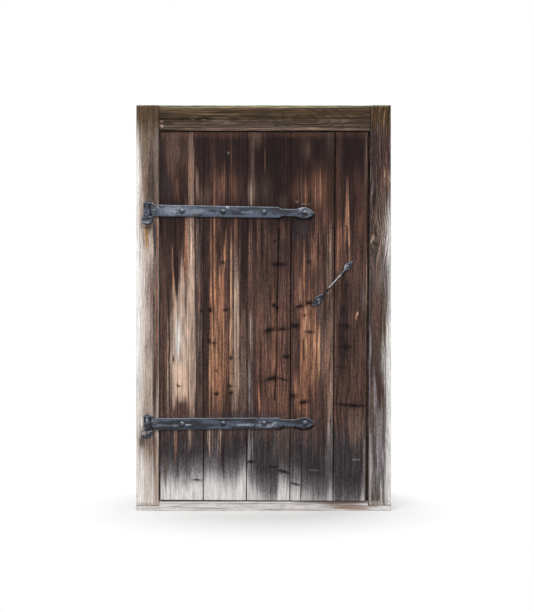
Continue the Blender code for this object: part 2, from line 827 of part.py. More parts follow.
def build_handle(axis):
    """Forged pull: a round grip that bows off the leaf between two nailed leaf plates."""
    nail = HANDLE_NAIL_SPACING / 2
    upper = sheet("handle", leaf_outline(nail, 1, UPPER_LEAF_TIP, UPPER_LEAF_HEEL, UPPER_LEAF_WIDTH), LEAF_PLATE)
    lower = sheet("lower_leaf", leaf_outline(-nail, -1, LOWER_LEAF_TIP, LOWER_LEAF_HEEL, LOWER_LEAF_WIDTH), LEAF_PLATE)
    start = LOWER_LEAF_HEEL - nail
    end = nail - UPPER_LEAF_HEEL
    base = GRIP_END_RADIUS + FIT - LEAF_PLATE / 2
    steps = 28
    path = [(start - LEAF_NECK_WIDTH, -base, 0.0)]
    radii = [GRIP_END_RADIUS]
    for i in range(steps + 1):
        x = start + (end - start) * i / steps
        near = min(x - start, end - x, GRIP_SWEEP) / GRIP_SWEEP
        bow = 0.5 - 0.5 * math.cos(math.pi * near)
        path.append((x, -base - (GRIP_STAND - GRIP_END_RADIUS) * bow, 0.0))
        radii.append(GRIP_END_RADIUS + (GRIP_RADIUS - GRIP_END_RADIUS) * bow)
    path.append((end + LEAF_NECK_WIDTH, -base, 0.0))
    radii.append(GRIP_END_RADIUS)
    join(upper, lower, rod("grip", path, radii, 16))
    for spot in (nail, -nail):
        cut(upper, drum("nail_hole", NAIL_RADIUS + HOLE_PLAY, (spot, -LEAF_PLATE, 0.0), (spot, LEAF_PLATE, 0.0), 12))
    handle = solid(upper)
    x, z = handle_place(0.0)
    handle.location = (x, LEAF_FRONT - FIT - LEAF_PLATE / 2, z)
    handle.rotation_euler = (0.0, -math.radians(HANDLE_ANGLE), 0.0)
    return hang(finish(handle, IRON, smooth=False), axis)


def build_handle_nail(name, along, axis):
    """Forged nail through a leaf plate and its plank, its point bent flat on the back."""
    x, z = handle_place(along)
    seat = LEAF_FRONT - LEAF_PLATE - 2 * FIT
    back = LEAF_BACK + FIT + NAIL_RADIUS
    bend = [math.pi / 2 * i / 5 for i in range(6)]
    path = [(0.0, seat - NAIL_HEAD_HEIGHT / 2, 0.0)]
    path += [(0.0, back + NAIL_BEND * (math.sin(a) - 1), NAIL_BEND * (math.cos(a) - 1)) for a in bend]
    path.append((0.0, back, -NAIL_BEND - NAIL_CLENCH))
    radii = [NAIL_RADIUS] * (len(path) - 1) + [NAIL_RADIUS / 2]
    shank = rod(name, path, radii, 12)
    shank.location = (x, 0.0, z)
    head = drum(
        "nail_head",
        NAIL_HEAD_RADIUS,
        (x, seat, z),
        (x, seat - NAIL_HEAD_HEIGHT, z),
        8,
        NAIL_HEAD_RADIUS / 3,
    )
    join(shank, head)
    return hang(finish(shank, IRON), axis)


def nail_hole(along):
    """Hole for a nail, opened downwards at the back where the nail bends over."""
    x, z = handle_place(along)
    hole = drum("nail_hole", NAIL_RADIUS + HOLE_PLAY, (x, -PLANK_THICKNESS, z), (x, 2 * PLANK_THICKNESS, z), 12)
    half = NAIL_RADIUS + HOLE_PLAY
    mouth = block(
        "nail_mouth",
        (x - half, LEAF_BACK - NAIL_BEND - HOLE_PLAY, z - NAIL_BEND - half),
        (x + half, LEAF_BACK + NAIL_BEND, z),
    )
    return hole, mouth


def build_leaf():
    axis = new_empty("leaf_axis", (AXIS_X, AXIS_Y, 0.0), FACE)
    places = {level: bolt_places(hinge) for level, hinge in HINGES.items()}
    planks = build_planks(axis)
    tools = [ledge_groove(hinge.height) for hinge in HINGES.values()]
    for along in (HANDLE_NAIL_SPACING / 2, -HANDLE_NAIL_SPACING / 2):
        tools += nail_hole(along)
    for level, hinge in HINGES.items():
        build_strap(f"strap_{level}", hinge, places[level], axis)
        holes = [bolt_hole(x, z) for x, z in places[level]]
        build_ledge(f"ledge_{level}", hinge.height, holes, axis)
        tools += holes
    for plank in planks:
        cut(plank, *tools)
    build_bolts(places, axis)
    build_handle(axis)
    build_handle_nail("handle_nail_upper", HANDLE_NAIL_SPACING / 2, axis)
    build_handle_nail("handle_nail_lower", -HANDLE_NAIL_SPACING / 2, axis)


def build_pintles(hinge_jamb):
    for level, hinge in HINGES.items():
        build_pintle(f"pintle_{level}", hinge)
        cut(hinge_jamb, spike(boss_top(hinge), FIT))


build_pintles(build_frame())
build_leaf()
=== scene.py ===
"""Looks of the plank door: weathered planks and frame, hammered straps, pintles and pull handle."""

import math
from collections import namedtuple
from itertools import product

import bpy
import numpy as np
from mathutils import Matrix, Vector


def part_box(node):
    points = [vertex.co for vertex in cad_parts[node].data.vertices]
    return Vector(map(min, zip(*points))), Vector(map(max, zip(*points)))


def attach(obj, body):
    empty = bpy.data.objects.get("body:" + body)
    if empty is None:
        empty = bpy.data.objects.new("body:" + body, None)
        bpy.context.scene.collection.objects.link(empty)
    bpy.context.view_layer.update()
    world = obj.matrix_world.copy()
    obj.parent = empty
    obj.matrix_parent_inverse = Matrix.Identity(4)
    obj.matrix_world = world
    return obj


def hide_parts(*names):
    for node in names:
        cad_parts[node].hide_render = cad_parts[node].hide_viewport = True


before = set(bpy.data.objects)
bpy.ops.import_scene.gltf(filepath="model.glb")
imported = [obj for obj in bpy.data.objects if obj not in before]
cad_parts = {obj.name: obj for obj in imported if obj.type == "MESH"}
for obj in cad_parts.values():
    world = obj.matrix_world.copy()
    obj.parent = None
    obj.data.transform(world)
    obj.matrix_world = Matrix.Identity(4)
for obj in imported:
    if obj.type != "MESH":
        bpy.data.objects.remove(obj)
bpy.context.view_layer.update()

MM = 0.001

# Timber, in metres, as packed; the sill's nose and the leaf's foot are drawn a little fuller
FACE = -0.070
BACK = 0.070
LEFT = -0.588
RIGHT = 0.588
TOP = 1.870
SEAT = 0.0253
ARRIS = 0.003
REBATE = 0.022
STOP_FACE = -0.037
HINGE_EDGE = -0.481
CLOSING_EDGE = 0.494
CLOSING_SPREAD = 0.0135
LINTEL_EDGE = 1.7495
JOINT_GAP = 0.0003
SILL_TOP = 0.045
SILL_NOSE = 0.044
SILL_NOSE_BACK = -0.044
SILL_SEAT = 0.025
SILL_STOP = 0.067
RISER_SPREAD = 0.006

# Leaf
LEAF_FRONT = -0.073
LEAF_BACK = -0.039
LEAF_LEFT = -0.477
LEAF_HEAD = 1.7445
LEAF_FOOT = 0.051
LEAF_FALL = 0.005
CLOSING_GAP = 0.010
PLANK_WIDTH = 0.1992
SEAM = 0.0005
PLANK_ARRIS = 0.0005
TONGUE = 0.010
GROOVE_SLACK = 0.001
TONGUE_FIT = 0.0003
LEDGE_HEIGHTS = {"upper": 1.383, "lower": 0.401}
LEDGE_HALF = 0.0522
LEDGE_BACK = -0.009
LEDGE_CHAMFER = 0.006
LEDGE_END_GAP = 0.020
DOVETAIL_DEPTH = 0.0107
DOVETAIL_FLARE = 0.005
BOLTS = range(1, 5)

# Steps of the dense meshes, and the share of a board's length in which its section jumps
FINE = 0.0021
COARSE = 0.006
ALONG = 0.005
JUMP = 0.0001
NEAR = 1e-6

# Places on a board's flat map: the unrolled sides on the left, the two ends in a strip on the right
MAP_SIDES = 0.9
MAP_END = (0.92, 0.02)
MAP_END_SIZE = (0.07, 0.45)
MAP_END_STEP = 0.5

# Large numbers that scatter the lattice of the noise
SCATTER = (73856093, 19349663, 83492791)
SCATTER_SEED = 15485863
STIRS = ((13, 1274126177), (15, 1103515245))
SEED_STEP = 101
NOISE_GAIN = 1.4


def linear(code):
    """Linear colour of a hex code."""
    parts = np.array([int(code[i : i + 2], 16) for i in (0, 2, 4)]) / 255
    return np.where(parts <= 0.04045, parts / 12.92, ((parts + 0.055) / 1.055) ** 2.4)


# Tones of the timber
PITCH = linear("271b1b")
SLATE = linear("393639")
DRIFT = linear("5c4f48")
ASH = linear("868083")
SILVER = linear("aca7a4")
CHALK = linear("cfccca")
WHITE = linear("e4e1dd")
UMBER = linear("412f2b")
BROWN = linear("563f38")
OXBLOOD = linear("553a34")
RUST = linear("6f4f42")
CLAY = linear("8f654f")
AMBER = linear("9c6f54")
OCHRE = linear("96703f")
HONEY = linear("ad8669")
PEACH = linear("bf967b")
TAN = linear("7a6357")
FAWN = linear("998273")
SAND = linear("b39a8a")
CREAM = linear("ccb3a0")
OLIVE = linear("463a2a")
BARK = linear("4a3826")
STRAW = linear("8c7860")
LICHEN = linear("857f62")

# Tones of the iron
STEEL_DARK = linear("1f2129")
STEEL = linear("485060")
STEEL_PALE = linear("a3a9b2")
STEEL_RUST = linear("3d322d")

# Marks of the weather, and a painted shadow and some painted highlights, in millimetres from the middle of
# the sill's underside.
# A streak runs with the grain from low to high and may end in another width or at another x.
# On the lying rails a streak's x is a height, and a crack's points are pairs of height and x.
Streak = namedtuple("Streak", "x low high width tone amount width_top x_top", defaults=(None, None))
Blot = namedtuple("Blot", "x z width height tone amount tilt", defaults=(0,))
Knot = namedtuple("Knot", "x z width height tilt", defaults=(0,))
Crack = namedtuple("Crack", "points width depth")
# How far the bleaching reaches in at a place along an edge, and how white it is
Bleach = namedtuple("Bleach", "place reach white")


def marks(kind, *rows):
    return [kind(*row) for row in rows]


PLANK_1_STREAKS = marks(
    Streak,
    (-279, 430, 1400, 18, PITCH * 0.8 + DRIFT * 0.2, 0.85, 23, -281),
    (-424, 1560, 1760, 44, BROWN, 0.7), (-330, 1330, 1750, 28, TAN, 0.8, 32, -334),
    (-330, 1385, 1615, 16, CLAY, 0.5, 16, -334), (-305, 1420, 1570, 18, TAN, 0.62, 16, -306),
    (-333, 430, 1180, 30, SAND, 0.8, 33, -332),
    (-334, 1130, 1420, 34, FAWN * 0.5 + TAN * 0.5, 0.75, 36, -336),
    (-331, 1000, 1250, 10, SAND, 0.7, 8), (-364, 1020, 1300, 23, CLAY, 0.85, 14, -357),
    (-380, 915, 1165, 60, SAND, 0.85, 14, -371),
    (-410, 915, 1175, 18, HONEY * 0.5 + CLAY * 0.5, 0.75, 7, -422),
    (-433, 850, 1210, 28, UMBER * 0.6 + PITCH * 0.4, 0.92, 19),
    (-390, 500, 960, 88, SAND, 0.9, 84, -385), (-390, 690, 900, 40, CHALK, 0.6, 34, -388),
    (-394, 695, 850, 10, WHITE, 0.85, 8, -393), (-383, 520, 670, 41, CREAM, 0.75, 51, -385),
    (-400, 960, 1165, 5, PITCH, 0.9, 28, -403), (-361, 870, 1055, 9, DRIFT, 0.8, 7, -358),
    (-434, 890, 1000, 20, UMBER * 0.6 + PITCH * 0.4, 0.7), (-280, 1020, 1320, 16, PITCH, 0.7, 18, -281),
    (-433, 440, 890, 7, PITCH, 0.8, 6, -431), (-440, 440, 890, 7, FAWN, 0.8, 6),
    (-314, 1145, 1350, 14, TAN, 0.5, 18), (-304, 790, 1315, 23, DRIFT * 0.6 + SLATE * 0.4, 0.82, 20),
    (-295, 845, 1075, 9, RUST, 0.7, 7), (-291, 430, 640, 28, DRIFT * 0.6 + UMBER * 0.4, 0.6, 26),
    (-291, 650, 900, 28, DRIFT * 0.8 + TAN * 0.2, 0.8, 23),
    (-372, 470, 640, 60, PEACH * 0.6 + CREAM * 0.4, 0.5, 50, -375),
    (-380, 430, 515, 74, OXBLOOD * 0.5 + UMBER * 0.5, 0.85, 64), (-413, 475, 530, 9, SAND, 0.8, 18),
    (-383, 495, 550, 9, SAND, 0.8, 28), (-404, 240, 400, 12, AMBER * 0.4 + RUST * 0.6, 0.75, 14),
    (-409, 290, 400, 5, FAWN, 0.7, 6, -410), (-396, 300, 400, 5, TAN, 0.7),
    (-345, 270, 400, 5, FAWN, 0.75, 6), (-338, 290, 400, 5, SAND, 0.75, 6),
    (-331, 280, 400, 4, TAN, 0.75, 5), (-372, 300, 400, 30, PITCH, 0.4, 36),
    (-452, 105, 245, 14, DRIFT, 0.7, 18), (-397, 125, 260, 12, SLATE, 0.7, 14),
)
PLANK_2_STREAKS = marks(
    Streak,
    (-263, 430, 1460, 23, PITCH * 0.9 + DRIFT * 0.1, 0.85, 23, -265),
    (-243, 950, 1330, 9, CLAY, 0.85, 7), (-228, 945, 1500, 9, CLAY, 0.9, 7, -227),
    (-228, 1480, 1740, 8, BROWN, 0.4, 6, -227), (-180, 1420, 1610, 8, RUST, 0.6, 6),
    (-169, 1430, 1640, 8, PITCH * 0.8, 0.8, 6), (-157, 1420, 1600, 6, RUST, 0.7, 5),
    (-148, 1420, 1740, 8, RUST, 0.5, 6), (-200, 1400, 1520, 24, RUST * 0.6 + CLAY * 0.4, 0.5, 20, -198),
    (-212, 1120, 1480, 34, OXBLOOD * 0.5 + UMBER * 0.5, 0.8, 28, -205),
    (-203, 490, 1060, 80, CLAY, 0.86, 60), (-203, 720, 1030, 34, CLAY * 0.4 + AMBER * 0.6, 0.8, 14),
    (-205, 510, 765, 14, AMBER, 0.65, 23, -203), (-194, 470, 800, 5, PITCH, 0.7, 4),
    (-223, 480, 760, 5, PITCH, 0.65, 4), (-184, 600, 900, 8, HONEY, 0.7),
    (-216, 560, 820, 6, HONEY, 0.6), (-178, 1130, 1305, 16, AMBER, 0.85, 7, -173),
    (-173, 835, 1120, 23, OXBLOOD, 0.7), (-151, 600, 1230, 10, HONEY, 0.9, 7, -149),
    (-152, 780, 1180, 7, PEACH, 0.8, 6, -151), (-159, 970, 1615, 6, PITCH, 0.8, 6, -160),
    (-125, 450, 1180, 32, FAWN, 0.7, 30), (-142, 440, 610, 14, FAWN * 0.6 + TAN * 0.4, 0.75, 12),
    (-126, 1150, 1340, 28, RUST, 0.7, 22), (-127, 740, 1065, 23, SAND, 0.5, 18),
    (-90, 905, 1750, 32, PITCH, 0.75, 37), (-88, 430, 870, 36, DRIFT * 0.6 + TAN * 0.4, 0.72, 30),
    (-248, 440, 765, 7, HONEY, 0.65), (-234, 440, 880, 7, HONEY, 0.65),
    (-170, 440, 765, 6, PITCH, 0.6, 5, -171), (-177, 510, 780, 14, CLAY, 0.7),
    (-256, 300, 400, 5, FAWN, 0.75), (-249, 270, 400, 6, SAND, 0.8, 7), (-236, 260, 400, 5, FAWN, 0.7),
    (-209, 270, 400, 5, TAN, 0.75, 6), (-199, 255, 400, 6, HONEY * 0.4 + FAWN * 0.6, 0.75, 7),
    (-192, 290, 400, 4, TAN, 0.7, 5), (-230, 300, 420, 50, DRIFT, 0.4, 70),
    (-187, 135, 325, 12, PITCH, 0.8), (-213, 235, 330, 24, TAN * 0.4 + ASH * 0.6, 0.5, 28),
)
PLANK_3_STREAKS = marks(
    Streak,
    (-54, 1385, 1750, 28, BROWN * 0.5 + DRIFT * 0.5, 0.32, 30, -50),
    (-60, 1400, 1510, 16, FAWN, 0.5, 8, -58), (6, 1555, 1690, 8, RUST, 0.55, 5),
    (-60, 660, 1030, 21, TAN * 0.7 + DRIFT * 0.3, 0.5, 19, -58),
    (-59, 1000, 1330, 22, TAN * 0.5 + BROWN * 0.5, 0.6, 21, -58),
    (-62, 420, 800, 23, ASH * 0.5 + DRIFT * 0.5, 0.65, 23, -60), (-63, 740, 925, 18, ASH, 0.6),
    (-68, 190, 375, 32, ASH, 0.75, 30), (-7, 765, 1330, 64, BROWN, 0.7, 55),
    (20, 1050, 1200, 40, UMBER * 0.6 + PITCH * 0.4, 0.65), (25, 440, 960, 110, RUST, 0.62, 90),
    (84, 1240, 1340, 30, BROWN, 0.7), (40, 570, 790, 44, RUST * 0.8 + CLAY * 0.2, 0.7, 36),
    (15, 530, 640, 26, UMBER, 0.6), (92, 440, 1020, 48, RUST, 0.6, 40, 89),
    (86, 460, 560, 50, RUST * 0.5 + CLAY * 0.5, 0.6, 44), (49, 610, 1100, 12, CLAY, 0.65, 12, 50),
    (-17, 440, 555, 14, CLAY, 0.7, 12), (99, 1410, 1665, 55, PITCH, 0.6, 46),
)
PLANK_4_STREAKS = marks(
    Streak,
    (186, 1615, 1745, 64, UMBER, 0.45), (238, 1390, 1530, 5, CLAY, 0.7),
    (262, 1400, 1560, 6, CLAY, 0.7, 5), (198, 1415, 1545, 16, CLAY, 0.5, 9),
    (168, 1405, 1580, 28, OXBLOOD, 0.7, 23), (180, 1250, 1335, 70, PITCH * 0.6 + SLATE * 0.4, 0.8),
    (251, 1145, 1330, 46, RUST, 0.55, 23), (163, 835, 1145, 46, RUST, 0.6, 37),
    (184, 970, 1180, 14, AMBER, 0.6, 7, 186), (168, 960, 1080, 6, HONEY, 0.6),
    (214, 570, 970, 83, CLAY, 0.85, 64, 205), (195, 740, 935, 12, HONEY, 0.8, 14),
    (230, 625, 835, 9, HONEY, 0.7), (255, 640, 855, 12, HONEY, 0.8),
    (287, 810, 1145, 28, UMBER, 0.7, 23, 283), (306, 1000, 1290, 28, TAN * 0.9 + FAWN * 0.1, 0.85),
    (232, 1110, 1260, 46, RUST * 0.8 + CLAY * 0.2, 0.7, 34, 230),
    (298, 440, 860, 44, RUST * 0.6 + TAN * 0.4, 0.6, 30),
    (302, 680, 880, 30, TAN * 0.6 + CLAY * 0.4, 0.8, 26),
    (172, 440, 590, 60, RUST * 0.4 + CLAY * 0.6, 0.85, 44, 168), (313, 420, 970, 12, TAN, 0.7, 10),
    (306, 350, 600, 32, FAWN * 0.5 + TAN * 0.5, 0.78, 20, 308), (278, 395, 580, 37, BROWN, 0.6, 28),
    (304, 180, 395, 32, SLATE * 0.4 + DRIFT * 0.3 + ASH * 0.3, 0.82, 28),
    (240, 250, 370, 80, BROWN, 0.45, 90), (208, 310, 420, 44, DRIFT * 0.5 + BROWN * 0.5, 0.75),
)
PLANK_5_STREAKS = marks(
    Streak,
    (383, 1120, 1460, 50, BROWN, 0.8, 12, 386), (368, 1140, 1510, 4, CLAY, 0.75, 3, 384),
    (397, 1150, 1510, 4, HONEY, 0.58, 3, 388), (376, 1180, 1440, 5, CLAY, 0.8, 4, 383),
    (392, 1180, 1400, 4, HONEY, 0.58, 3, 387), (382, 1180, 1300, 8, PITCH, 0.9, 6, 383),
    (354, 1110, 1365, 28, RUST * 0.7 + CLAY * 0.3, 0.5, 18, 352), (337, 1385, 1740, 6, RUST, 0.45),
    (439, 1000, 1200, 23, BROWN * 0.6 + RUST * 0.4, 0.5, 18),
    (366, 690, 1000, 60, UMBER * 0.5 + PITCH * 0.5, 0.6, 50, 368),
    (370, 620, 1090, 36, PITCH, 0.7, 28, 376), (436, 520, 640, 44, UMBER, 0.65, 38, 438),
    (340, 400, 560, 32, BROWN * 0.5 + RUST * 0.5, 0.7, 26),
    (463, 40, 360, 24, ASH * 0.7 + DRIFT * 0.3, 0.72, 14, 467),
    (456, 930, 1040, 30, DRIFT * 0.6 + SLATE * 0.4, 0.7, 26),
    (416, 320, 440, 74, BROWN * 0.5 + TAN * 0.5, 0.72, 64), (472, 840, 1145, 10, FAWN, 0.58, 7, 475),
    (469, 50, 605, 9, DRIFT, 0.7, 7, 472),
)
HINGE_JAMB_STREAKS = marks(
    Streak,
    (-530, 1640, 1850, 90, STRAW * 0.5 + DRIFT * 0.5, 0.8, 100),
    (-548, 1430, 1660, 40, TAN * 0.8 + DRIFT * 0.2, 0.7, 60, -545),
    (-503, 1290, 1850, 30, DRIFT * 0.85 + TAN * 0.15, 0.9, 46, -500),
    (-517, 1410, 1640, 44, UMBER * 0.6 + DRIFT * 0.4, 0.85, 30),
    (-502, 430, 1340, 20, DRIFT * 0.7 + TAN * 0.3, 0.9, 22, -503),
    (-489, 540, 1480, 12, RUST * 0.8 + UMBER * 0.2, 0.9, 11), (-497, 60, 420, 20, FAWN, 0.7, 24, -498),
    (-536, 1390, 1560, 10, OCHRE * 0.5 + TAN * 0.5, 0.5), (-505, 1430, 1590, 8, SLATE, 0.6, 7, -509),
    (-492, 1430, 1665, 6, FAWN, 0.6, 6, -496), (-487, 700, 1480, 5, HONEY * 0.5 + CLAY * 0.5, 0.7, 4),
    (-498, 1265, 1345, 26, UMBER * 0.8 + RUST * 0.2, 0.75), (-488, 500, 640, 6, LICHEN, 0.7, 5),
    (-502, 1190, 1330, 16, SLATE * 0.6 + UMBER * 0.4, 0.85, 22), (-505, 920, 1000, 8, UMBER, 0.8, 9),
    (-513, 900, 1080, 20, TAN, 0.6, 24, -515), (-517, 740, 850, 10, TAN, 0.7, 8, -519),
    (-503, 460, 700, 12, UMBER, 0.85, 15, -501), (-541, 1205, 1300, 8, OCHRE, 0.85, 15),
    (-532, 1190, 1280, 5, OCHRE * 0.6 + TAN * 0.4, 0.7, 6),
    (-530, 1275, 1335, 36, OCHRE * 0.2 + DRIFT * 0.8, 0.6),
    (-553, 1220, 1300, 5, OCHRE * 0.5 + TAN * 0.5, 0.6, 7), (-550, 440, 620, 8, STRAW, 0.4),
    (-566, 250, 350, 12, OLIVE, 0.7, 26, -562), (-530, 250, 340, 70, TAN * 0.5 + FAWN * 0.5, 0.6, 90),
    (-512, 150, 240, 14, ASH, 0.6, 16), (-501, 190, 380, 18, DRIFT * 0.7 + TAN * 0.3, 0.8, 22),
)
CLOSING_JAMB_STREAKS = marks(
    Streak,
    (535, 1440, 1850, 80, UMBER, 0.8, 100), (503, 640, 1500, 26, UMBER, 0.7, 28),
    (532, 1560, 1660, 54, SLATE * 0.5 + PITCH * 0.5, 0.6), (503, 40, 330, 34, ASH, 0.9, 30),
    (503, 1440, 1540, 12, ASH, 0.5), (520, 1400, 1560, 4, FAWN, 0.5, 3, 527),
    (531, 1410, 1560, 4, FAWN, 0.5, 3, 536), (542, 1400, 1560, 4, TAN, 0.5, 3, 545),
    (554, 1390, 1560, 4, FAWN, 0.6, 3, 556), (566, 1380, 1540, 8, TAN, 0.6, 6, 572),
    (508, 1390, 1480, 16, PITCH, 0.7, 14, 510),
    (560, 1010, 1380, 28, ASH * 0.6 + DRIFT * 0.4, 0.65, 32, 562), (524, 740, 1010, 30, BROWN, 0.9, 26),
    (521, 1040, 1190, 12, RUST * 0.6 + DRIFT * 0.4, 0.6, 10, 519),
    (540, 1190, 1310, 6, OXBLOOD, 0.8, 6, 538), (543, 720, 1020, 8, PITCH, 0.7, 7, 541),
    (507, 740, 1000, 6, PITCH, 0.6), (497, 780, 1000, 14, UMBER, 0.8),
    (531, 440, 660, 16, UMBER, 0.85, 54, 540), (531, 430, 600, 5, PITCH, 0.85, 6, 533),
    (515, 460, 640, 12, ASH, 0.7, 14, 512), (489, 560, 925, 9, ASH, 0.6, 7, 490),
    (487, 40, 340, 14, SILVER * 0.6 + ASH * 0.4, 0.9, 12, 489), (534, 50, 430, 44, ASH, 0.75, 40),
    (508, 180, 340, 18, SLATE, 0.75, 16, 506), (545, 60, 190, 40, SLATE, 0.85, 30),
    (515, 70, 190, 8, SLATE, 0.55),
)
LEAF_SMOKE = marks(
    Blot,
    (-412, 1680, 60, 130, TAN, 0.33), (-420, 1560, 26, 140, RUST, 0.25),
    (-442, 1500, 40, 90, SLATE, 0.4), (-400, 1475, 14, 70, CLAY, 0.4),
    (-362, 1610, 34, 220, RUST, 0.15), (-285, 1640, 60, 200, PITCH, 0.6),
    (-280, 1448, 40, 60, TAN, 0.45), (-258, 1480, 16, 80, TAN, 0.2), (-232, 1620, 22, 200, RUST, 0.15),
    (-197, 1490, 46, 90, RUST * 0.5 + CLAY * 0.5, 0.4), (-195, 1650, 80, 140, PITCH, 0.5),
    (-132, 1490, 22, 90, CLAY, 0.25), (-98, 1650, 44, 180, PITCH, 0.6),
    (-95, 1480, 34, 100, BROWN, 0.45), (-58, 1460, 28, 70, FAWN, 0.42), (-28, 1715, 40, 60, TAN, 0.4),
    (36, 1650, 90, 220, PITCH * 0.58, 0.85), (10, 1480, 44, 100, TAN * 0.5 + DRIFT * 0.5, 0.2),
    (92, 1425, 26, 44, DRIFT, 0.4), (205, 1665, 22, 60, TAN, 0.25), (160, 1470, 48, 70, RUST, 0.35),
    (250, 1560, 60, 70, OXBLOOD, 0.2), (272, 1670, 50, 120, PITCH * 0.6, 0.5),
    (255, 1485, 68, 110, CLAY, 0.34), (308, 1690, 32, 120, DRIFT, 0.22),
    (345, 1620, 18, 240, RUST, 0.3), (350, 1490, 26, 120, RUST, 0.22),
    (408, 1630, 104, 210, PITCH * 0.75, 0.85), (440, 1480, 60, 130, OXBLOOD, 0.4),
    (472, 1600, 9, 240, TAN, 0.4), (290, 1340, 60, 110, RUST, 0.45), (450, 1320, 54, 120, RUST, 0.42),
    (19, 1130, 64, 120, PITCH, 0.75), (275, 890, 50, 80, SLATE, 0.6),
    (290, 760, 60, 320, TAN * 0.5 + DRIFT * 0.5, 0.4), (372, 800, 60, 420, PITCH, 0.12),
    (95, 340, 60, 140, DRIFT, 0.5), (240, 210, 54, 80, SLATE * 0.5 + PITCH * 0.4, 0.75),
    (450, 340, 50, 140, DRIFT, 0.5), (404, 130, 56, 80, SLATE * 0.7, 0.5),
)
LEAF_KNOTS = marks(
    Knot,
    (-192, 1144, 23, 11), (-281, 921, 18, 9), (-245, 926, 14, 23), (-175, 926, 18, 9),
    (50, 1242, 18, 9, -10), (71, 1135, 60, 14), (48, 947, 18, 14, 20), (64, 935, 14, 18),
    (165, 942, 37, 14, -18), (209, 958, 32, 14, -12), (189, 901, 9, 9), (210, 1147, 12, 14),
    (29, 834, 51, 16, -14), (88, 838, 41, 11, -6), (143, 852, 32, 18), (212, 824, 32, 9, 6),
    (105, 711, 37, 11, -6), (36, 610, 55, 17, -14), (89, 606, 46, 7, 12), (135, 530, 28, 18, 15),
    (186, 502, 37, 14, -8), (381, 854, 16, 12, 10), (364, 758, 14, 9), (392, 489, 96, 9, 2),
    (432, 482, 76, 5, -2), (-251, 783, 14, 14), (-231, 774, 18, 9), (-150, 705, 16, 14),
    (-217, 645, 9, 9), (-217, 539, 18, 14), (-150, 544, 16, 14), (-155, 576, 18, 9), (-415, 700, 7, 23),
    (-390, 576, 18, 6, 20), (-307, 143, 37, 6), (89, 182, 51, 10, 15), (147, 124, 41, 6, 16),
    (-58, 226, 28, 11), (43, 203, 41, 7, -6),
)
LEAF_FOOT_BLEACH = marks(
    Bleach,
    (-477, 150, 0.85), (-425, 145, 0.9), (-400, 130, 1.0), (-290, 155, 1.0), (-250, 170, 1.0),
    (-190, 135, 1.0), (-120, 140, 1.0), (-85, 200, 0.95), (-60, 130, 0.95), (-20, 75, 0.8),
    (55, 60, 0.75), (75, 145, 0.9), (118, 135, 0.9), (128, 110, 1.0), (168, 110, 1.0), (180, 90, 0.7),
    (225, 75, 0.6), (280, 65, 0.55), (305, 105, 0.7), (322, 90, 0.55), (335, 30, 0.5), (440, 30, 0.55),
    (462, 110, 0.75), (475, 135, 0.8),
)
HINGE_JAMB_BLEACH = marks(
    Bleach,
    (0, 110, 0.9), (220, 75, 0.6), (330, 28, 0.3), (450, 45, 0.6), (800, 50, 0.9), (1100, 46, 1.0),
    (1250, 34, 0.95), (1320, 22, 0.6), (1420, 24, 0.8), (1520, 26, 0.9), (1650, 22, 0.8),
    (1780, 10, 0.2), (1870, 4, 0.0),
)
CLOSING_JAMB_BLEACH = marks(
    Bleach,
    (0, 46, 0.95), (120, 50, 0.95), (200, 40, 0.95), (330, 34, 0.95), (520, 32, 0.95), (650, 44, 0.95),
    (760, 42, 0.95), (880, 30, 0.85), (970, 20, 0.75), (1060, 20, 0.65), (1150, 30, 0.6),
    (1240, 44, 0.6), (1330, 36, 0.5), (1420, 22, 0.4), (1500, 10, 0.25), (1600, 6, 0.05),
    (1870, 4, 0.0),
)
LEAF_BLOTS = marks(
    Blot,
    (-90, 444, 440, 40, UMBER * 0.25 + SLATE * 0.75, 0.55), (387, 1041, 34, 20, PITCH, 0.7),
    (366, 925, 26, 64, PITCH * 0.7, 0.8), (374, 850, 66, 30, PITCH * 0.7, 0.8, 6),
    (376, 756, 68, 30, PITCH * 0.8, 0.8, -4), (358, 663, 60, 18, PITCH, 0.75, 4),
    (431, 906, 13, 30, PEACH * 0.7 + HONEY * 0.3, 0.85, 10), (427, 888, 7, 16, HONEY, 0.7, -20),
    (426, 456, 50, 22, RUST, 0.5), (430, 237, 55, 6, ASH, 0.7, -5), (228, 187, 83, 7, ASH, 0.4, -3),
    (308, 134, 18, 14, ASH, 0.7), (154, 1424, 22, 6, FAWN, 0.6, 35), (163, 1428, 6, 12, TAN, 0.6),
    (209, 1412, 8, 18, TAN, 0.7, 30), (186, 1414, 26, 5, FAWN, 0.4, 5), (-162, 1649, 10, 14, ASH, 0.6),
)
LEAF_CRACKS = marks(
    Crack,
    ([(70, 1300), (66, 1087), (64, 926), (60, 696), (50, 511)], 4.6, 6),
    ([(175, 502), (174, 419)], 3.2, 5), ([(184, 788), (181, 640)], 2.4, 3),
    ([(172, 304), (175, 189), (171, 51)], 3.4, 5),
)
HINGE_JAMB_SMOKE = marks(
    Blot,
    (-534, 1720, 100, 150, TAN * 0.7 + OLIVE * 0.3, 0.5), (-519, 1560, 60, 320, DRIFT, 0.9),
    (-556, 1490, 30, 160, STRAW, 0.4), (-518, 1540, 46, 260, UMBER, 0.8),
    (-524, 1070, 24, 130, DRIFT, 0.45), (-514, 950, 30, 130, TAN, 0.6), (-520, 780, 24, 90, TAN, 0.5),
    (-530, 700, 60, 400, FAWN, 0.3), (-525, 480, 50, 160, FAWN, 0.4), (-520, 290, 90, 90, TAN, 0.5),
)
CLOSING_JAMB_SMOKE = marks(
    Blot,
    (536, 1672, 80, 120, PITCH, 0.8), (558, 1560, 50, 150, UMBER, 0.6),
    (532, 1612, 54, 100, UMBER * 0.4 + SLATE * 0.3 + PITCH * 0.3, 0.8), (540, 1330, 60, 160, TAN, 0.3),
    (530, 1100, 80, 140, DRIFT * 0.5 + ASH * 0.5, 0.4),
)
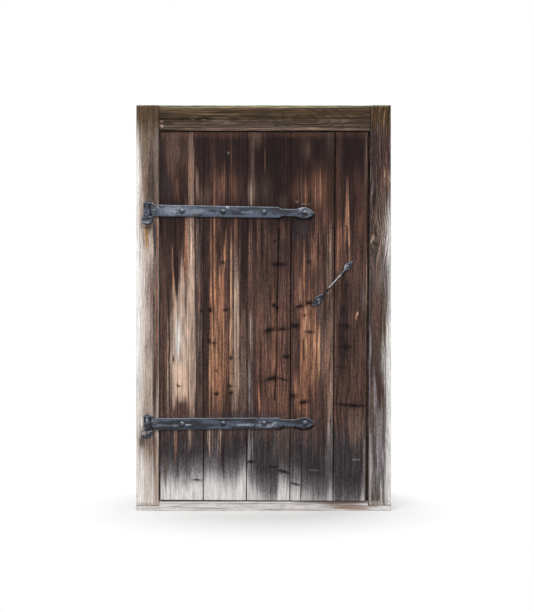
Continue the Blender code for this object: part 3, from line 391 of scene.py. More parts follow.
HINGE_JAMB_BLOTS = marks(
    Blot,
    (-562, 320, 30, 70, OLIVE, 0.6), (-559, 412, 14, 60, WHITE, 0.8), (-541, 1282, 28, 44, OCHRE, 0.5),
    # The umber blot just below the upper pintle's boss is the boss's painted shadow
    (-540, 1306, 46, 14, UMBER, 0.5), (-545, 32, 120, 16, FAWN, 0.5), (-539, 755, 6, 14, DRIFT, 0.5),
)
CLOSING_JAMB_BLOTS = marks(
    Blot,
    (513, 1241, 42, 78, PITCH, 0.9), (508, 1245, 34, 66, FAWN, 0.9, 6), (510, 1240, 22, 46, DRIFT, 0.9),
    (509, 1252, 10, 26, SAND, 0.7), (512, 1228, 10, 16, PITCH, 0.8),
    (538, 32, 120, 40, SILVER * 0.6 + FAWN * 0.4, 0.75),
)
LINTEL_STREAKS = marks(
    Streak,
    (1829, -160, 500, 28, OLIVE, 0.6), (1842, -480, -200, 40, STRAW * 0.2 + BARK * 0.8, 0.6),
    (1800, -235, -150, 34, DRIFT * 0.6 + STRAW * 0.4, 0.7), (1849, -230, 500, 12, OXBLOOD, 0.6),
    (1778, -490, 500, 37, DRIFT * 0.9, 0.55), (1757, -400, 490, 14, TAN * 0.7 + DRIFT * 0.3, 0.8),
    (1788, 250, 490, 28, DRIFT * 0.5 + TAN * 0.5, 0.55), (1863, -500, 510, 15, LICHEN * 0.75, 0.85),
)
LINTEL_BLOTS = marks(
    Blot,
    (-277, 1805, 23, 6, SAND, 0.9), (-327, 1804, 18, 5, FAWN, 0.8), (-470, 1794, 18, 9, FAWN, 0.6),
    (-468, 1773, 18, 14, FAWN, 0.8), (204, 1812, 46, 9, PITCH, 0.6), (352, 1810, 60, 7, PITCH, 0.4),
    (435, 1769, 12, 12, PITCH, 0.9),
)
LINTEL_CRACKS = marks(
    Crack,
    ([(1803, -477), (1806, -350), (1805, -250)], 2.0, 4),
)
SILL_STREAKS = marks(
    Streak,
    (42, 190, 490, 12, DRIFT, 0.85, 14), (34, 290, 480, 14, DRIFT * 0.5 + TAN * 0.5, 0.8),
    (20, 310, 470, 22, TAN * 0.5 + FAWN * 0.5, 0.8), (8, 330, 470, 12, FAWN, 0.7),
    (20, 470, 530, 12, FAWN, 0.6), (33, -200, 100, 5, FAWN * 0.6 + TAN * 0.4, 0.6),
    (34, -480, 240, 3, FAWN, 0.6), (20, -445, -380, 5, FAWN, 0.7), (12, -340, -180, 4, FAWN, 0.7),
    (24, -120, 60, 4, FAWN, 0.6), (8, -60, 220, 5, SAND, 0.6), (28, 120, 260, 4, TAN, 0.6),
    (10, -590, -470, 8, SAND, 0.6),
)
# Pale and dark places on the irons; the handle's are painted highlights, and so is the last one on the
# lower strap's eye
UPPER_STRAP_BLOTS = marks(
    Blot,
    (-425, 1386, 100, 44, STEEL_PALE, 0.3), (-378, 1394, 40, 14, STEEL_PALE, 0.4),
    (-330, 1376, 170, 26, STEEL_PALE, 0.28), (-180, 1398, 150, 16, STEEL_DARK, 0.35),
    (-167, 1399, 14, 10, STEEL_PALE, 0.9), (-90, 1388, 80, 22, STEEL_DARK, 0.8, 6),
    (-75, 1375, 66, 10, STEEL_PALE, 0.2), (20, 1387, 120, 32, STEEL_DARK, 0.6),
    (110, 1382, 90, 30, STEEL_DARK, 0.6), (95, 1374, 150, 28, STEEL_DARK, 0.7),
    (205, 1386, 44, 34, STEEL_PALE, 0.15), (172, 1391, 26, 20, STEEL_PALE, 0.5),
    (200, 1372, 26, 14, STEEL_PALE, 0.5, 20), (-486, 1399, 12, 18, STEEL_PALE, 0.7),
    (-508, 1385, 50, 34, STEEL_DARK, 0.45),
)
LOWER_STRAP_BLOTS = marks(
    Blot,
    (-415, 395, 60, 12, STEEL_PALE, 0.28), (-488, 393, 50, 16, STEEL_PALE, 0.2),
    (-508, 414, 40, 22, STEEL_PALE, 0.45), (-347, 398, 28, 7, STEEL_PALE, 0.9),
    (-90, 398, 90, 12, STEEL_PALE, 0.6), (10, 394, 90, 14, STEEL_PALE, 0.45, -4),
    (48, 402, 30, 18, STEEL_PALE, 0.45, 20), (-6, 410, 30, 10, STEEL_PALE, 0.5),
    # Painted highlight on the lower strap's eye
    (-535, 424, 12, 24, STEEL_PALE, 0.8),
)
UPPER_BOSS_BLOTS = marks(
    Blot,
    (-561, 1338, 12, 34, STEEL_PALE, 0.6), (-540, 1326, 40, 8, STEEL_PALE, 0.5),
)
LOWER_BOSS_BLOTS = marks(
    Blot,
    (-548, 362, 26, 22, SILVER, 0.7), (-528, 366, 10, 16, STEEL_PALE, 0.5),
)
# Painted highlights along the handle's grip and on its two plates
HANDLE_HIGHLIGHTS = marks(
    Blot,
    (338, 1072, 84, 9, SILVER, 0.85, 47.7), (381, 1124, 24, 22, STEEL_PALE, 0.7),
    (254, 968, 10, 26, STEEL_PALE, 0.5),
)
JAMB_KNOTS = marks(
    Knot,
    (513, 1240, 36, 74), (-539, 755, 8, 16),
)

# The planks from left to right: the height up to which the seam on the right stands open,
# how much paler the sheltered side is, and how far the tree's heart lies from the middle
Plank = namedtuple("Plank", "streaks seam_open back_shade heart_shift")
WHOLE_SEAM = 2.0
PLANKS = (
    Plank(PLANK_1_STREAKS, 0.36, 0.12, 0.03),
    Plank(PLANK_2_STREAKS, 0.38, -0.18, -0.05),
    Plank(PLANK_3_STREAKS, 1.30, 0.05, 0.02),
    Plank(PLANK_4_STREAKS, WHOLE_SEAM, -0.1, -0.03),
    Plank(PLANK_5_STREAKS, WHOLE_SEAM, 0.18, 0.0),
)
HEART_DEPTH = 0.11
RING_PITCH = 5 * MM
SEAM_REACH = 2.2 * MM
SEAM_DEPTH = 1.5 * MM
SEAM_FADE = 0.05

# Heights between which the leaf turns rusty, dark, worn, grey and calm
RUSTY_HEAD = (LEAF_HEAD - 0.034, LEAF_HEAD - 0.014)
DARK_HEAD = (1.08, 1.38)
WORN_HEAD = (1.25, 1.42)
GREY_FOOT = (0.46, 0.27)
GREY_FOOT_BEHIND = (0.45, 0.12)
CALM_HEAD = (1.28, 1.45)
CALM_FOOT = (0.34, 0.22)

# How strong a jamb's figure is where it is sheltered, and the heights between which it grows bold
CALM_CONTRAST = 0.3
BOLD_HEAD = (1.0, 1.2)

# Depth within which the lintel's ends step back to the jambs' stops
STEP_DEPTH = 0.0002

# Worn arrises of the frame, as reach and depth, and the thickness of the crust on its top
FRAME_WEAR = (6 * MM, 1.6 * MM)
JAMB_CRUST = 0.009
LINTEL_CRUST = 0.010

# Knots: depth, how far they lead the grain aside, how much further along it, and size of the dark halo
KNOT_DEPTH = 1.2 * MM
KNOT_REACH = 1.6
KNOT_STRETCH = 1.6
KNOT_HALO = (1.7, 2.2)

# The longest tip of a streak, in millimetres
LONGEST_FADE = 150.0

# How squarely a surface looks to the front or the back of the door before it counts as facing there
FACES_FRONT = (0.25, 0.75)
FACES_BACK = (0.2, 0.7)

# Noise along the grain: lengths of its lumps, place among a board's seeds and number of octaves
SWAY = ((0.05, 0.05, 0.11), 16, 2)
FRAY = ((4.6 * MM, 0.05, 0.4), 1, 2)
COMB = ((6 * MM, 0.05, 3.0), 2, 2)
CLOUDS = ((0.016, 0.05, 0.12), 15, 3)
SHADES = ((0.03, 0.03, 0.11), 5, 3)
FIBRES = ((4.8 * MM, 4.8 * MM, 0.12), 6, 2)
HAIRS = ((3 * MM, 3 * MM, 0.045), 7, 1)
DARK_FIBRES = ((4.4 * MM, 4.4 * MM, 0.24), 13, 1)
BRIGHT_FIBRES = ((4.8 * MM, 4.8 * MM, 0.2), 14, 1)
KNOCKS = ((0.05, 0.05, 0.06), 9, 2)

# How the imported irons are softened, and the strength of the fine relief in every material
WELD_REACH = 1e-5
SOFT_SHARE = 0.5
SOFT_ROUNDS = 5
BUMP_STRENGTH = 0.8

# Directions in which the irons' faces get a painted highlight, turned up and to the front, and painted
# shade, turned down
LIT_SIDE = np.array([0.3, -0.6, 0.74])
SHADED_SIDE = np.array([0.3, -0.1, -0.95])


def smooth(low, high, value):
    """Rises from 0 at low to 1 at high without a kink; falls where high is the smaller."""
    share = np.clip((value - low) / (high - low), 0.0, 1.0)
    return share * share * (3 - 2 * share)


def between(first, second, share):
    return first * (1 - share[:, None]) + second * share[:, None]


def hashed(cell, seed):
    """A number from 0 to 1 for each lattice point, the same on every run."""
    x, y, z = (cell * SCATTER).T
    mixed = x ^ y ^ z ^ seed * SCATTER_SEED
    for shift, factor in STIRS:
        mixed = (mixed & 0xFFFFFFFF) * factor
        mixed = mixed ^ (mixed >> shift)
    return ((mixed >> 9) & 0xFFFF) / 0xFFFF


def noise(points, size, seed, octaves):
    """Smooth noise from about -1 to 1; size gives the lumps' lengths along the three axes."""
    total = np.zeros(len(points))
    weight = 1.0
    for octave in range(octaves):
        spot = points / np.array(size) * 2**octave
        cell = np.floor(spot).astype(np.int64)
        share = spot - cell
        share = share * share * (3 - 2 * share)
        value = np.zeros(len(points))
        for corner in product((0, 1), repeat=3):
            near = np.prod(np.where(corner, share, 1 - share), axis=1)
            value += near * hashed(cell + np.array(corner), seed + SEED_STEP * octave)
        total += weight * (2 * value - 1)
        weight *= 0.5
    return total * NOISE_GAIN / (2 - 2 * weight)


def seed_of(name):
    return sum(ord(letter) for letter in name)


def closing_edge(z):
    """Where the closing jamb ends beside the leaf, at a height."""
    rise = (z - SILL_SEAT) / (TOP - SILL_SEAT)
    return CLOSING_EDGE - CLOSING_SPREAD * (1 - rise)


def leaf_right(z):
    return closing_edge(z) - CLOSING_GAP


def points_of(mesh):
    """Places and normals of a mesh's points, as two arrays."""
    arrays = []
    for field in ("co", "normal"):
        values = np.empty(len(mesh.vertices) * 3)
        mesh.vertices.foreach_get(field, values)
        arrays.append(values.reshape(-1, 3))
    return arrays


def store(mesh, name, values, kind, field):
    """Keeps a value at every point of a mesh, for its material to read."""
    layer = mesh.attributes.new(name, kind, "POINT")
    layer.data.foreach_set(field, values.astype(np.float32).ravel())


def link_object(name, data):
    thing = bpy.data.objects.new(name, data)
    bpy.context.scene.collection.objects.link(thing)
    return thing


def add_piece(name, mesh, co, tone, material, body, node):
    """Puts a mesh with its last shape and tones in the scene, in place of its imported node."""
    mesh.vertices.foreach_set("co", co.ravel())
    opaque = np.column_stack([np.clip(tone, 0.0, 1.0), np.ones(len(tone))])
    store(mesh, "tone", opaque, "FLOAT_COLOR", "color")
    mesh.update()
    mesh.materials.clear()
    mesh.materials.append(material)
    piece = link_object(name, mesh)
    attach(piece, body)
    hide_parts(node)


def step_counts(corners, front):
    """How many steps each side of a section gets: short ones on the face, longer ones elsewhere."""
    counts = []
    for start, end in zip(corners, corners[1:] + corners[:1]):
        length = math.dist(start, end)
        step = FINE if start[1] == end[1] == front else COARSE
        counts.append(max(2 if length < 2 * ARRIS else 1, round(length / step)))
    return counts


def stations(length, jumps):
    """Even shares of a board's length, with a close pair of them wherever its section jumps."""
    shares = np.linspace(0.0, 1.0, round(length / ALONG) + 1)
    pairs = [share + side for share in jumps for side in (-JUMP, JUMP)]
    return np.unique(np.concatenate([shares, pairs]))


class Timber:
    """A dense board whose points carry colour, grain and relief until it becomes a piece."""

    def __init__(
        self, name, ends, length, front, jumps=(), lying=False, rings=0, shape=None,
        knots=(), pull=0.3, sway=0,
    ):
        self.name = name
        self.seed = seed_of(name)
        self.lying = lying
        steps = step_counts(ends[0], front)
        shares = stations(length, jumps)
        ends = np.array(ends)
        low, high = (self.round_section(corners, steps) for corners in ends)
        grid = low + (high - low) * shares[:, None, None]
        if shape:
            grid = shape(grid.reshape(-1, 3)).reshape(grid.shape)
        base = np.concatenate([grid.reshape(-1, 3), self.cap(grid[0], rings), self.cap(grid[-1], rings)])
        self.mesh = self.skin(base, grid.shape[:2], rings, shares, low)
        corner_gap = np.linalg.norm(low[:, None] - ends[0], axis=2).min(axis=1)
        on_caps = np.ones(len(base) - len(shares) * len(low))
        self.edge = np.concatenate([np.tile(corner_gap, len(shares)), on_caps])
        self.co, self.normal = points_of(self.mesh)
        self.x, self.y, self.z = self.co.T
        self.grain = self.co[:, [2, 1, 0] if lying else [0, 1, 2]]
        self.front = smooth(*FACES_FRONT, -self.normal[:, 1])
        self.rear = smooth(*FACES_BACK, self.normal[:, 1])
        self.tone = np.tile(UMBER, (len(base), 1))
        self.sink = np.zeros(len(base))
        self.wear = np.full(len(base), 0.5)
        self.grain[:, 0] += sway * self.front * self.fibre(*SWAY)
        for mark in knots:
            self.bend(mark, pull)
        self.fray = self.fibre(*FRAY)
        self.comb = self.fibre(*COMB)
        self.drift = self.fibre(*CLOUDS)

    @staticmethod
    def round_section(corners, steps):
        """Points round a section, with each side split into its number of steps."""
        sides = []
        for i, count in enumerate(steps):
            ahead = corners[(i + 1) % len(corners)] - corners[i]
            sides.append(corners[i] + ahead * (np.arange(count) / count)[:, None])
        return np.concatenate(sides)

    @staticmethod
    def cap(ring, rings):
        """Points that close one end, in rings that shrink towards its middle."""
        middle = ring.mean(axis=0)
        inner = [middle + (ring - middle) * (1 - 0.96 * (i + 1) / rings) for i in range(rings)]
        return np.concatenate(inner) if inner else np.empty((0, 3))

    def skin(self, base, shape, rings, shares, ring):
        """Faces of the board and a flat map of them, unrolled round the section."""
        count, around = shape
        index = np.arange(count * around).reshape(count, around)
        lap = np.linalg.norm(np.roll(ring, -1, axis=0) - ring, axis=1)
        lap = np.concatenate([[0.0], np.cumsum(lap) / lap.sum()]) * MAP_SIDES
        faces = [self.quads(index)]
        maps = [self.quads_of_map(*np.meshgrid(lap, shares))]
        lids = []
        lid_maps = []
        for side, edge in enumerate((index[0], index[-1])):
            inner = (count + side * rings) * around + np.arange(rings * around).reshape(rings, around)
            rows = np.concatenate([edge[None], inner])[:, :: 2 * side - 1]
            spots = self.flatten(base[rows.ravel()], side).reshape(*rows.shape, 2)
            wrapped = np.concatenate([spots, spots[:, :1]], axis=1)
            faces.append(self.quads(rows))
            maps.append(self.quads_of_map(wrapped[..., 0], wrapped[..., 1]))
            lids.append(rows[-1].tolist())
            lid_maps.append(spots[-1])
        sides = np.concatenate(faces)
        mesh = bpy.data.meshes.new(self.name)
        mesh.from_pydata(base.tolist(), [], sides.tolist() + lids)
        layer = mesh.uv_layers.new(name="OFBake")
        layer.data.foreach_set("uv", np.concatenate(maps + lid_maps).astype(np.float32).ravel())
        if self.volume(base, sides) < 0:
            mesh.flip_normals()
        mesh.polygons.foreach_set("use_smooth", np.arange(len(mesh.polygons)) < len(faces[0]))
        mesh.update()
        return mesh

    @staticmethod
    def quads(index):
        ahead = np.roll(index, -1, axis=1)
        return np.stack([index[:-1], ahead[:-1], ahead[1:], index[1:]], axis=-1).reshape(-1, 4)

    @staticmethod
    def quads_of_map(u, v):
        rows, columns = u.shape[0] - 1, u.shape[1] - 1
        spots = []
        for i, j in ((0, 0), (0, 1), (1, 1), (1, 0)):
            spots.append(np.stack([part[i : i + rows, j : j + columns] for part in (u, v)], axis=-1))
        return np.stack(spots, axis=2).reshape(-1, 2)

    @staticmethod
    def volume(base, quads):
        a, b, c, d = (base[quads[:, i]] for i in range(4))
        return np.einsum("ij,ij->", a, np.cross(b, c)) + np.einsum("ij,ij->", a, np.cross(c, d))

    def flatten(self, spots, side):
        """Map places of an end, in the strip beside the unrolled sides."""
        across = spots[:, 2 if self.lying else 0]
        u, v = ((part - part.min()) / max(np.ptp(part), NEAR) for part in (across, spots[:, 1]))
        return np.column_stack(
            [MAP_END[0] + MAP_END_SIZE[0] * u, MAP_END[1] + MAP_END_STEP * side + MAP_END_SIZE[1] * v]
        )

    def fibre(self, size, offset, octaves):
        """Noise of the board's own that runs with the grain."""
        return noise(self.grain, size, self.seed + offset, octaves)

    def vary(self, size, seed):
        """Shares from about 0 to 1 that change from fibre to fibre."""
        return 0.5 + 0.5 * noise(self.grain, size, seed, 2)

    def mix(self, tone, weight):
        self.tone = between(self.tone, tone, np.clip(weight, 0.0, 1.0))

    def draw(self, **lists):
        """Draws lists of marks one after the other, each by the method of its name."""
        for kind, rows in lists.items():
            for mark in rows:
                getattr(self, kind)(mark)

    def streak(self, mark):
        """A band along the grain that frays into fibres; the fainter it is, the fewer take its tone."""
        across, along = self.grain[:, 0] / MM, self.grain[:, 2] / MM
        x_top = mark.x if mark.x_top is None else mark.x_top
        width_top = mark.width if mark.width_top is None else mark.width_top
        length = mark.high - mark.low
        share = np.clip((along - mark.low) / length, 0.0, 1.0)
        half = (mark.width + (width_top - mark.width) * share) / 2
        offset = np.abs(across - mark.x - (x_top - mark.x) * share)
        fade = min(LONGEST_FADE, 0.4 * length)
        uneven = along + 0.7 * fade * self.comb
        tip = smooth(mark.low - fade, mark.low + fade, uneven)
        tip = tip * smooth(mark.high + fade, mark.high - fade, uneven)
        body = mark.amount * smooth(1.7, 0.3, offset / half) * np.sqrt(tip)
        loose = 0.3 + 0.3 * smooth(8.0, 30.0, mark.width)
        frayed = smooth(0.27, 0.62, body + loose * self.fray) * smooth(0.02, 0.2, body)
        self.mix(mark.tone, (0.35 + 0.6 * mark.amount) * frayed * tip**0.6 * self.front)

    def smoke(self, mark):
        """A soft cloud of another tone, drawn out along the grain."""
        right = (self.grain[:, 0] / MM - mark.x) / (0.7 * mark.width)
        up = (self.z / MM - mark.z) / (0.7 * mark.height) + 0.35 * self.comb
        cloud = np.exp(-(right**2) - up**2) * (1.0 + 0.45 * self.drift + 0.35 * self.fray)
        self.mix(mark.tone, mark.amount * cloud * self.front)

    def oval(self, mark, rough):
        """How far inside a tilted oval each point is, from 1 in its middle to 0 outside."""
        turn = math.radians(mark.tilt)
        right = self.x / MM - mark.x
        up = self.z / MM - mark.z
        length = (right * math.cos(turn) - up * math.sin(turn)) / (mark.width / 2)
        height = (right * math.sin(turn) + up * math.cos(turn)) / (mark.height / 2)
        return smooth(1.2, 0.45, np.hypot(length, height) + rough)

    def blot(self, mark):
        rough = 0.3 * noise(self.co, (9 * MM, 0.05, 9 * MM), self.seed + 3, 2)
        self.mix(mark.tone, mark.amount * self.oval(mark, rough) * self.front)

    def bend(self, mark, pull):
        """Leads the grain round a knot."""
        right = self.x - mark.x * MM
        up = self.z - mark.z * MM
        spread = KNOT_REACH * max(mark.width, mark.height) * MM / 2
        swell = np.exp(-((right / spread) ** 2) - (up / (KNOT_STRETCH * spread)) ** 2)
        self.grain[:, 0] -= right * swell * pull * self.front

    def knot(self, mark):
        rough = 0.3 * noise(self.co, (7 * MM, 0.05, 5 * MM), self.seed + 4, 2) - 0.15
        inside = self.oval(mark, rough) * self.front
        halo = mark._replace(width=KNOT_HALO[0] * mark.width, height=KNOT_HALO[1] * mark.height)
        self.mix(PITCH, 0.45 * self.oval(halo, rough) * self.front)
        self.mix(PITCH * 0.45, 0.97 * inside)
        self.sink += KNOT_DEPTH * inside

    def crack(self, mark):
        """A split that follows its points along the grain, black and cut into the face."""
        spot = self.co[:, [2, 0] if self.lying else [0, 2]] / MM
        gap = np.full(len(spot), np.inf)
        for start, end in zip(mark.points, mark.points[1:]):
            ahead = np.subtract(end, start)
            share = np.clip((spot - start) @ ahead / (ahead @ ahead), 0.0, 1.0)
            gap = np.minimum(gap, np.linalg.norm(spot - start - share[:, None] * ahead, axis=1))
        gap = gap + 0.8 * self.fray
        self.mix(PITCH * 0.35, 0.95 * smooth(mark.width, 0.35 * mark.width, gap) * self.front)
        self.sink += mark.depth * MM * smooth(0.8 * mark.width, 0.0, gap) * self.front

    def mottle(self, strength):
        """Lighter and darker fibres all over the board: the lighter are warmer, the darker cooler."""
        cloud = self.fibre(*SHADES)
        fine = self.fibre(*FIBRES)
        hair = self.fibre(*HAIRS)
        dark = smooth(0.3, 0.65, self.fibre(*DARK_FIBRES))
        bright = smooth(0.35, 0.7, self.fibre(*BRIGHT_FIBRES))
        light = 0.5 * cloud + 0.48 * fine + 0.45 * hair - 0.8 * dark + 0.5 * bright
        colourful = (self.tone[:, 0] - self.tone[:, 2]) / self.tone[:, 0]
        pale = smooth(0.14, 0.4, self.tone.mean(axis=1))
        light = strength * (1 - 0.6 * pale) * light
        self.tone *= np.exp(light)[:, None]
        self.tone *= 1 + (colourful * light)[:, None] * np.array([0.12, 0.0, -0.15])
        self.sink += 0.5 * MM * (1.2 + fine) / 2 + 0.35 * MM * (1.2 + hair) / 2 + 0.6 * MM * dark

    def wear_edges(self, reach, depth):
        """Rounds the arrises, more in some places than in others."""
        knock = self.fibre(*KNOCKS)
        near = np.exp(-((self.edge / reach) ** 2))
        self.sink += depth * near * (0.7 + 0.6 * knock)

    def rings(self, heart, drift, pitch=RING_PITCH, wave=0.5):
        """Growth rings round a heart that wanders along the board, in waves of a given length."""
        along = np.column_stack([np.zeros((len(self.co), 2)), self.grain[:, 2]])
        sway = noise(along, (1, 1, 0.7), self.seed + 10, 2)
        lift = noise(along, (1, 1, 0.45), self.seed + 11, 2)
        right = self.grain[:, 0] - heart[0] - drift * sway
        deep = self.grain[:, 1] - heart[1] - drift * lift
        return np.hypot(right, deep) / pitch + 0.9 * self.fibre((0.02, 0.02, wave), 12, 2)

    def figure(self, rings, depth):
        """Darkens the late wood at the end of each ring, which stands a little proud."""
        share = rings % 1.0
        late = smooth(0.35, 0.85, share) * smooth(1.0, 0.93, share)
        pale = smooth(0.25, 0.6, self.tone.mean(axis=1))
        self.tone *= np.exp(1.2 * depth * (1 - 0.8 * pale) * (0.4 - late))[:, None]
        self.sink += 0.9 * MM * depth * (1 - late)

    def piece(self, material, body, slot, rings):
        store(self.mesh, "grain", self.grain, "FLOAT_VECTOR", "vector")
        store(self.mesh, "ring", rings, "FLOAT", "value")
        store(self.mesh, "wear", np.clip(self.wear, 0.0, 1.0), "FLOAT", "value")
        co = self.co - self.normal * np.maximum(self.sink, 0.0)[:, None]
        add_piece(self.name + "_timber", self.mesh, co, self.tone, material, body, self.name)


def plank_section(left, right, level, grooved, tongued):
    middle = (LEAF_FRONT + LEAF_BACK) / 2
    front = middle - TONGUE / 2
    back = middle + TONGUE / 2
    corners = [(left + PLANK_ARRIS, LEAF_FRONT), (right - PLANK_ARRIS, LEAF_FRONT)]
    corners.append((right, LEAF_FRONT + PLANK_ARRIS))
    if tongued:
        tip = right + TONGUE
        corners += [(right, front), (tip, front), (tip, back), (right, back)]
    corners += [(right, LEAF_BACK), (left, LEAF_BACK)]
    if grooved:
        floor = left - SEAM + TONGUE + GROOVE_SLACK
        corners += [(left, back + TONGUE_FIT), (floor, back + TONGUE_FIT)]
        corners += [(floor, front - TONGUE_FIT), (left, front - TONGUE_FIT)]
    corners.append((left, LEAF_FRONT + PLANK_ARRIS))
    return [(x, y, level(x)) for x, y in corners]


def plank_foot(x):
    return LEAF_FOOT - LEAF_FALL * (x - LEAF_LEFT) / (leaf_right(LEAF_FOOT) - LEAF_LEFT)


def plank_head(x):
    return LEAF_HEAD


def cut_ledge_grooves(base):
    """Sinks the back of a plank behind the two ledges."""
    for height in LEDGE_HEIGHTS.values():
        behind = (np.abs(base[:, 2] - height) < LEDGE_HALF) & (base[:, 1] > LEAF_BACK - NEAR)
        base[behind, 1] -= DOVETAIL_DEPTH
    return base


def bleaching(rows, along):
    """Reach and whiteness of the bleaching at each place along an edge."""
    places, reach, white = zip(*rows)
    return np.interp(along, places, reach), np.interp(along, places, white)


def bleach_foot(timber):
    """Splash water has washed the foot of the leaf grey, then white."""
    reach, white = bleaching(LEAF_FOOT_BLEACH, timber.x / MM)
    rise = timber.z / MM + 16 * timber.fray + 16 * timber.comb
    timber.mix(ASH, 0.9 * white * smooth(reach + 125, reach - 10, rise) * timber.front)
    timber.mix(CHALK, white * smooth(reach + 40, reach - 65, rise) * timber.front)


def bleach_edge(timber, edge, rows):
    """Sun and rain have whitened the outer edge of a jamb."""
    reach, white = bleaching(rows, timber.z / MM)
    depth = np.abs(timber.x - edge) / MM / reach + 0.25 * timber.fray + 0.15 * timber.comb
    behind = (timber.y - FACE) / MM + 14 * timber.comb
    shelter = 0.12 + 0.88 * smooth(70, 8, behind)
    timber.mix(CHALK * 0.2 + WHITE * 0.8, white * shelter * smooth(1.15, 0.1, depth))


def paint_shadow_under_straps(timber):
    """Blackens the wood along the lower edge of each strap: painted shadow of the strap, with some rust
    stain.
    """
    for name in LEDGE_HEIGHTS:
        strap = points_of(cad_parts[f"strap_{name}"].data)[0]
        places = np.arange(LEAF_LEFT, strap[:, 0].max(), 4 * MM)
        near = np.abs(strap[:, 0][:, None] - places) < 12 * MM
        lower = np.where(near, strap[:, 2][:, None], np.inf).min(axis=0)
        below = np.interp(timber.x, places, lower, right=-1.0) - timber.z
        weight = smooth(13 * MM, 4 * MM, below + 3 * MM * timber.fray) * smooth(-6 * MM, -2 * MM, below)
        timber.mix(PITCH * 0.3, 0.92 * weight * timber.front)


def make_plank(number, plank, seam_left):
    first = number == 1
    last = number == len(PLANKS)
    ends = []
    for z, level in ((LEAF_FOOT, plank_foot), (LEAF_HEAD, plank_head)):
        width = leaf_right(z) - LEAF_LEFT
        scale = width / (leaf_right(LEAF_FOOT) - LEAF_LEFT)
        left = LEAF_LEFT + (number - 1) * PLANK_WIDTH * scale + (0 if first else SEAM / 2)
        right = LEAF_LEFT + (width if last else number * PLANK_WIDTH * scale - SEAM / 2)
        ends.append(plank_section(left, right, level, not first, not last))
    length = LEAF_HEAD - LEAF_FOOT
    sides = [height + side * LEDGE_HALF for height in LEDGE_HEIGHTS.values() for side in (-1, 1)]
    grooves = [(side - LEAF_FOOT) / length for side in sides]
    left, right = ends[0][0][0] / MM, ends[0][1][0] / MM
    middle = (left + right) / 2 * MM
    knots = [knot for knot in LEAF_KNOTS if left < knot.x < right]
    name = f"plank_{number}"
    timber = Timber(name, ends, length, LEAF_FRONT, grooves, shape=cut_ledge_grooves, knots=knots)
    z = timber.z
    drift = 0.08 * noise(timber.grain, (0.012, 0.05, 0.6), 40 + number, 2)
    vary = timber.vary((0.022, 0.05, 0.7), 50 + number)
    timber.mix(BROWN, 0.7 * vary)
    timber.mix(PITCH * 0.66, 0.9 * smooth(*DARK_HEAD, z + drift))
    timber.mix(SLATE, 0.9 * smooth(*GREY_FOOT, z + drift))
    timber.mix(RUST * 0.36, 0.85 * smooth(*RUSTY_HEAD, z + 0.01 * timber.fray) * timber.front)
    bleach_foot(timber)
    timber.draw(smoke=LEAF_SMOKE, streak=plank.streaks, blot=LEAF_BLOTS, knot=knots, crack=LEAF_CRACKS)
    paint_shadow_under_straps(timber)
    vary = np.clip(vary + plank.back_shade, 0.0, 1.0)
    timber.mix(between(BROWN, FAWN, vary), timber.rear)
    timber.mix(DRIFT, 0.7 * timber.rear * smooth(*GREY_FOOT_BEHIND, z + drift))
    # Painted shade, with some dust: a dark band on the back of the planks beside each ledge
    for height in LEDGE_HEIGHTS.values():
        gap = np.abs(z - height) - LEDGE_HALF + 5 * MM * timber.fray
        timber.mix(PITCH, 0.55 * timber.rear * smooth(24 * MM, 2 * MM, gap))
    # Painted shade: the planks' sides, which look into the seams and the gap, are darkened
    timber.mix(PITCH * 0.6, 0.85 * smooth(0.5, 0.9, np.abs(timber.normal[:, 0])))
    seam = np.where(timber.x < middle, seam_left, plank.seam_open)
    seam = smooth(seam + SEAM_FADE, seam - SEAM_FADE, z) * np.exp(-((timber.edge / SEAM_REACH) ** 2))
    timber.tone *= 1 - 0.55 * seam[:, None]
    timber.sink += SEAM_DEPTH * seam
    timber.mottle(0.6 - 0.34 * np.maximum(smooth(*CALM_FOOT, z), smooth(*CALM_HEAD, z)))
    timber.wear = np.maximum(smooth(0.02, 0.45, timber.tone.mean(axis=1)), 0.5 * smooth(*WORN_HEAD, z))
    rings = timber.rings((middle + plank.heart_shift, LEAF_FRONT + HEART_DEPTH), drift=0.012)
    timber.figure(rings, depth=0.12)
    timber.piece(PLANK_WOOD, "leaf", "plank_wood", rings)


def jamb_ends(outer, edge_at, inward):
    """Sections of a jamb at its seat and its top; inward is 1 or -1."""
    ends = []
    for z in (SEAT, TOP):
        rebate = edge_at(z)
        stop = rebate + inward * REBATE
        flat = [(outer + inward * ARRIS, FACE), (rebate - inward * ARRIS, FACE), (rebate, FACE + ARRIS)]
        flat += [(rebate, STOP_FACE), (stop, STOP_FACE), (stop, BACK), (outer, BACK), (outer, FACE + ARRIS)]
        ends.append([(x, y, z) for x, y in flat])
    return ends


def hinge_edge(z):
    return HINGE_EDGE


def rail_ends(flat, left, right):
    """The same section at both ends of a lying rail."""
    return [[(x, y, z) for y, z in flat] for x in (left, right)]


def age_frame(timber, front_tone):
    """Weathered grey-brown all round, browner behind."""
    vary = timber.vary((0.018, 0.02, 0.8), timber.seed + 20)
    timber.tone = between(DRIFT, ASH, vary)
    timber.mix(front_tone, timber.front)
    timber.mix(between(BROWN, TAN, vary), timber.rear)


def grow_lichen(timber, depth):
    """Green-grey crust on the top and a little way down the faces."""
    patch = noise(timber.co, (0.05, 0.03, 0.012), timber.seed + 30, 3)
    crust = smooth(TOP - depth, TOP - 0.3 * depth, timber.z + 0.35 * depth * patch)
    timber.mix(LICHEN * (0.7 + 0.25 * patch[:, None]), 0.85 * crust)


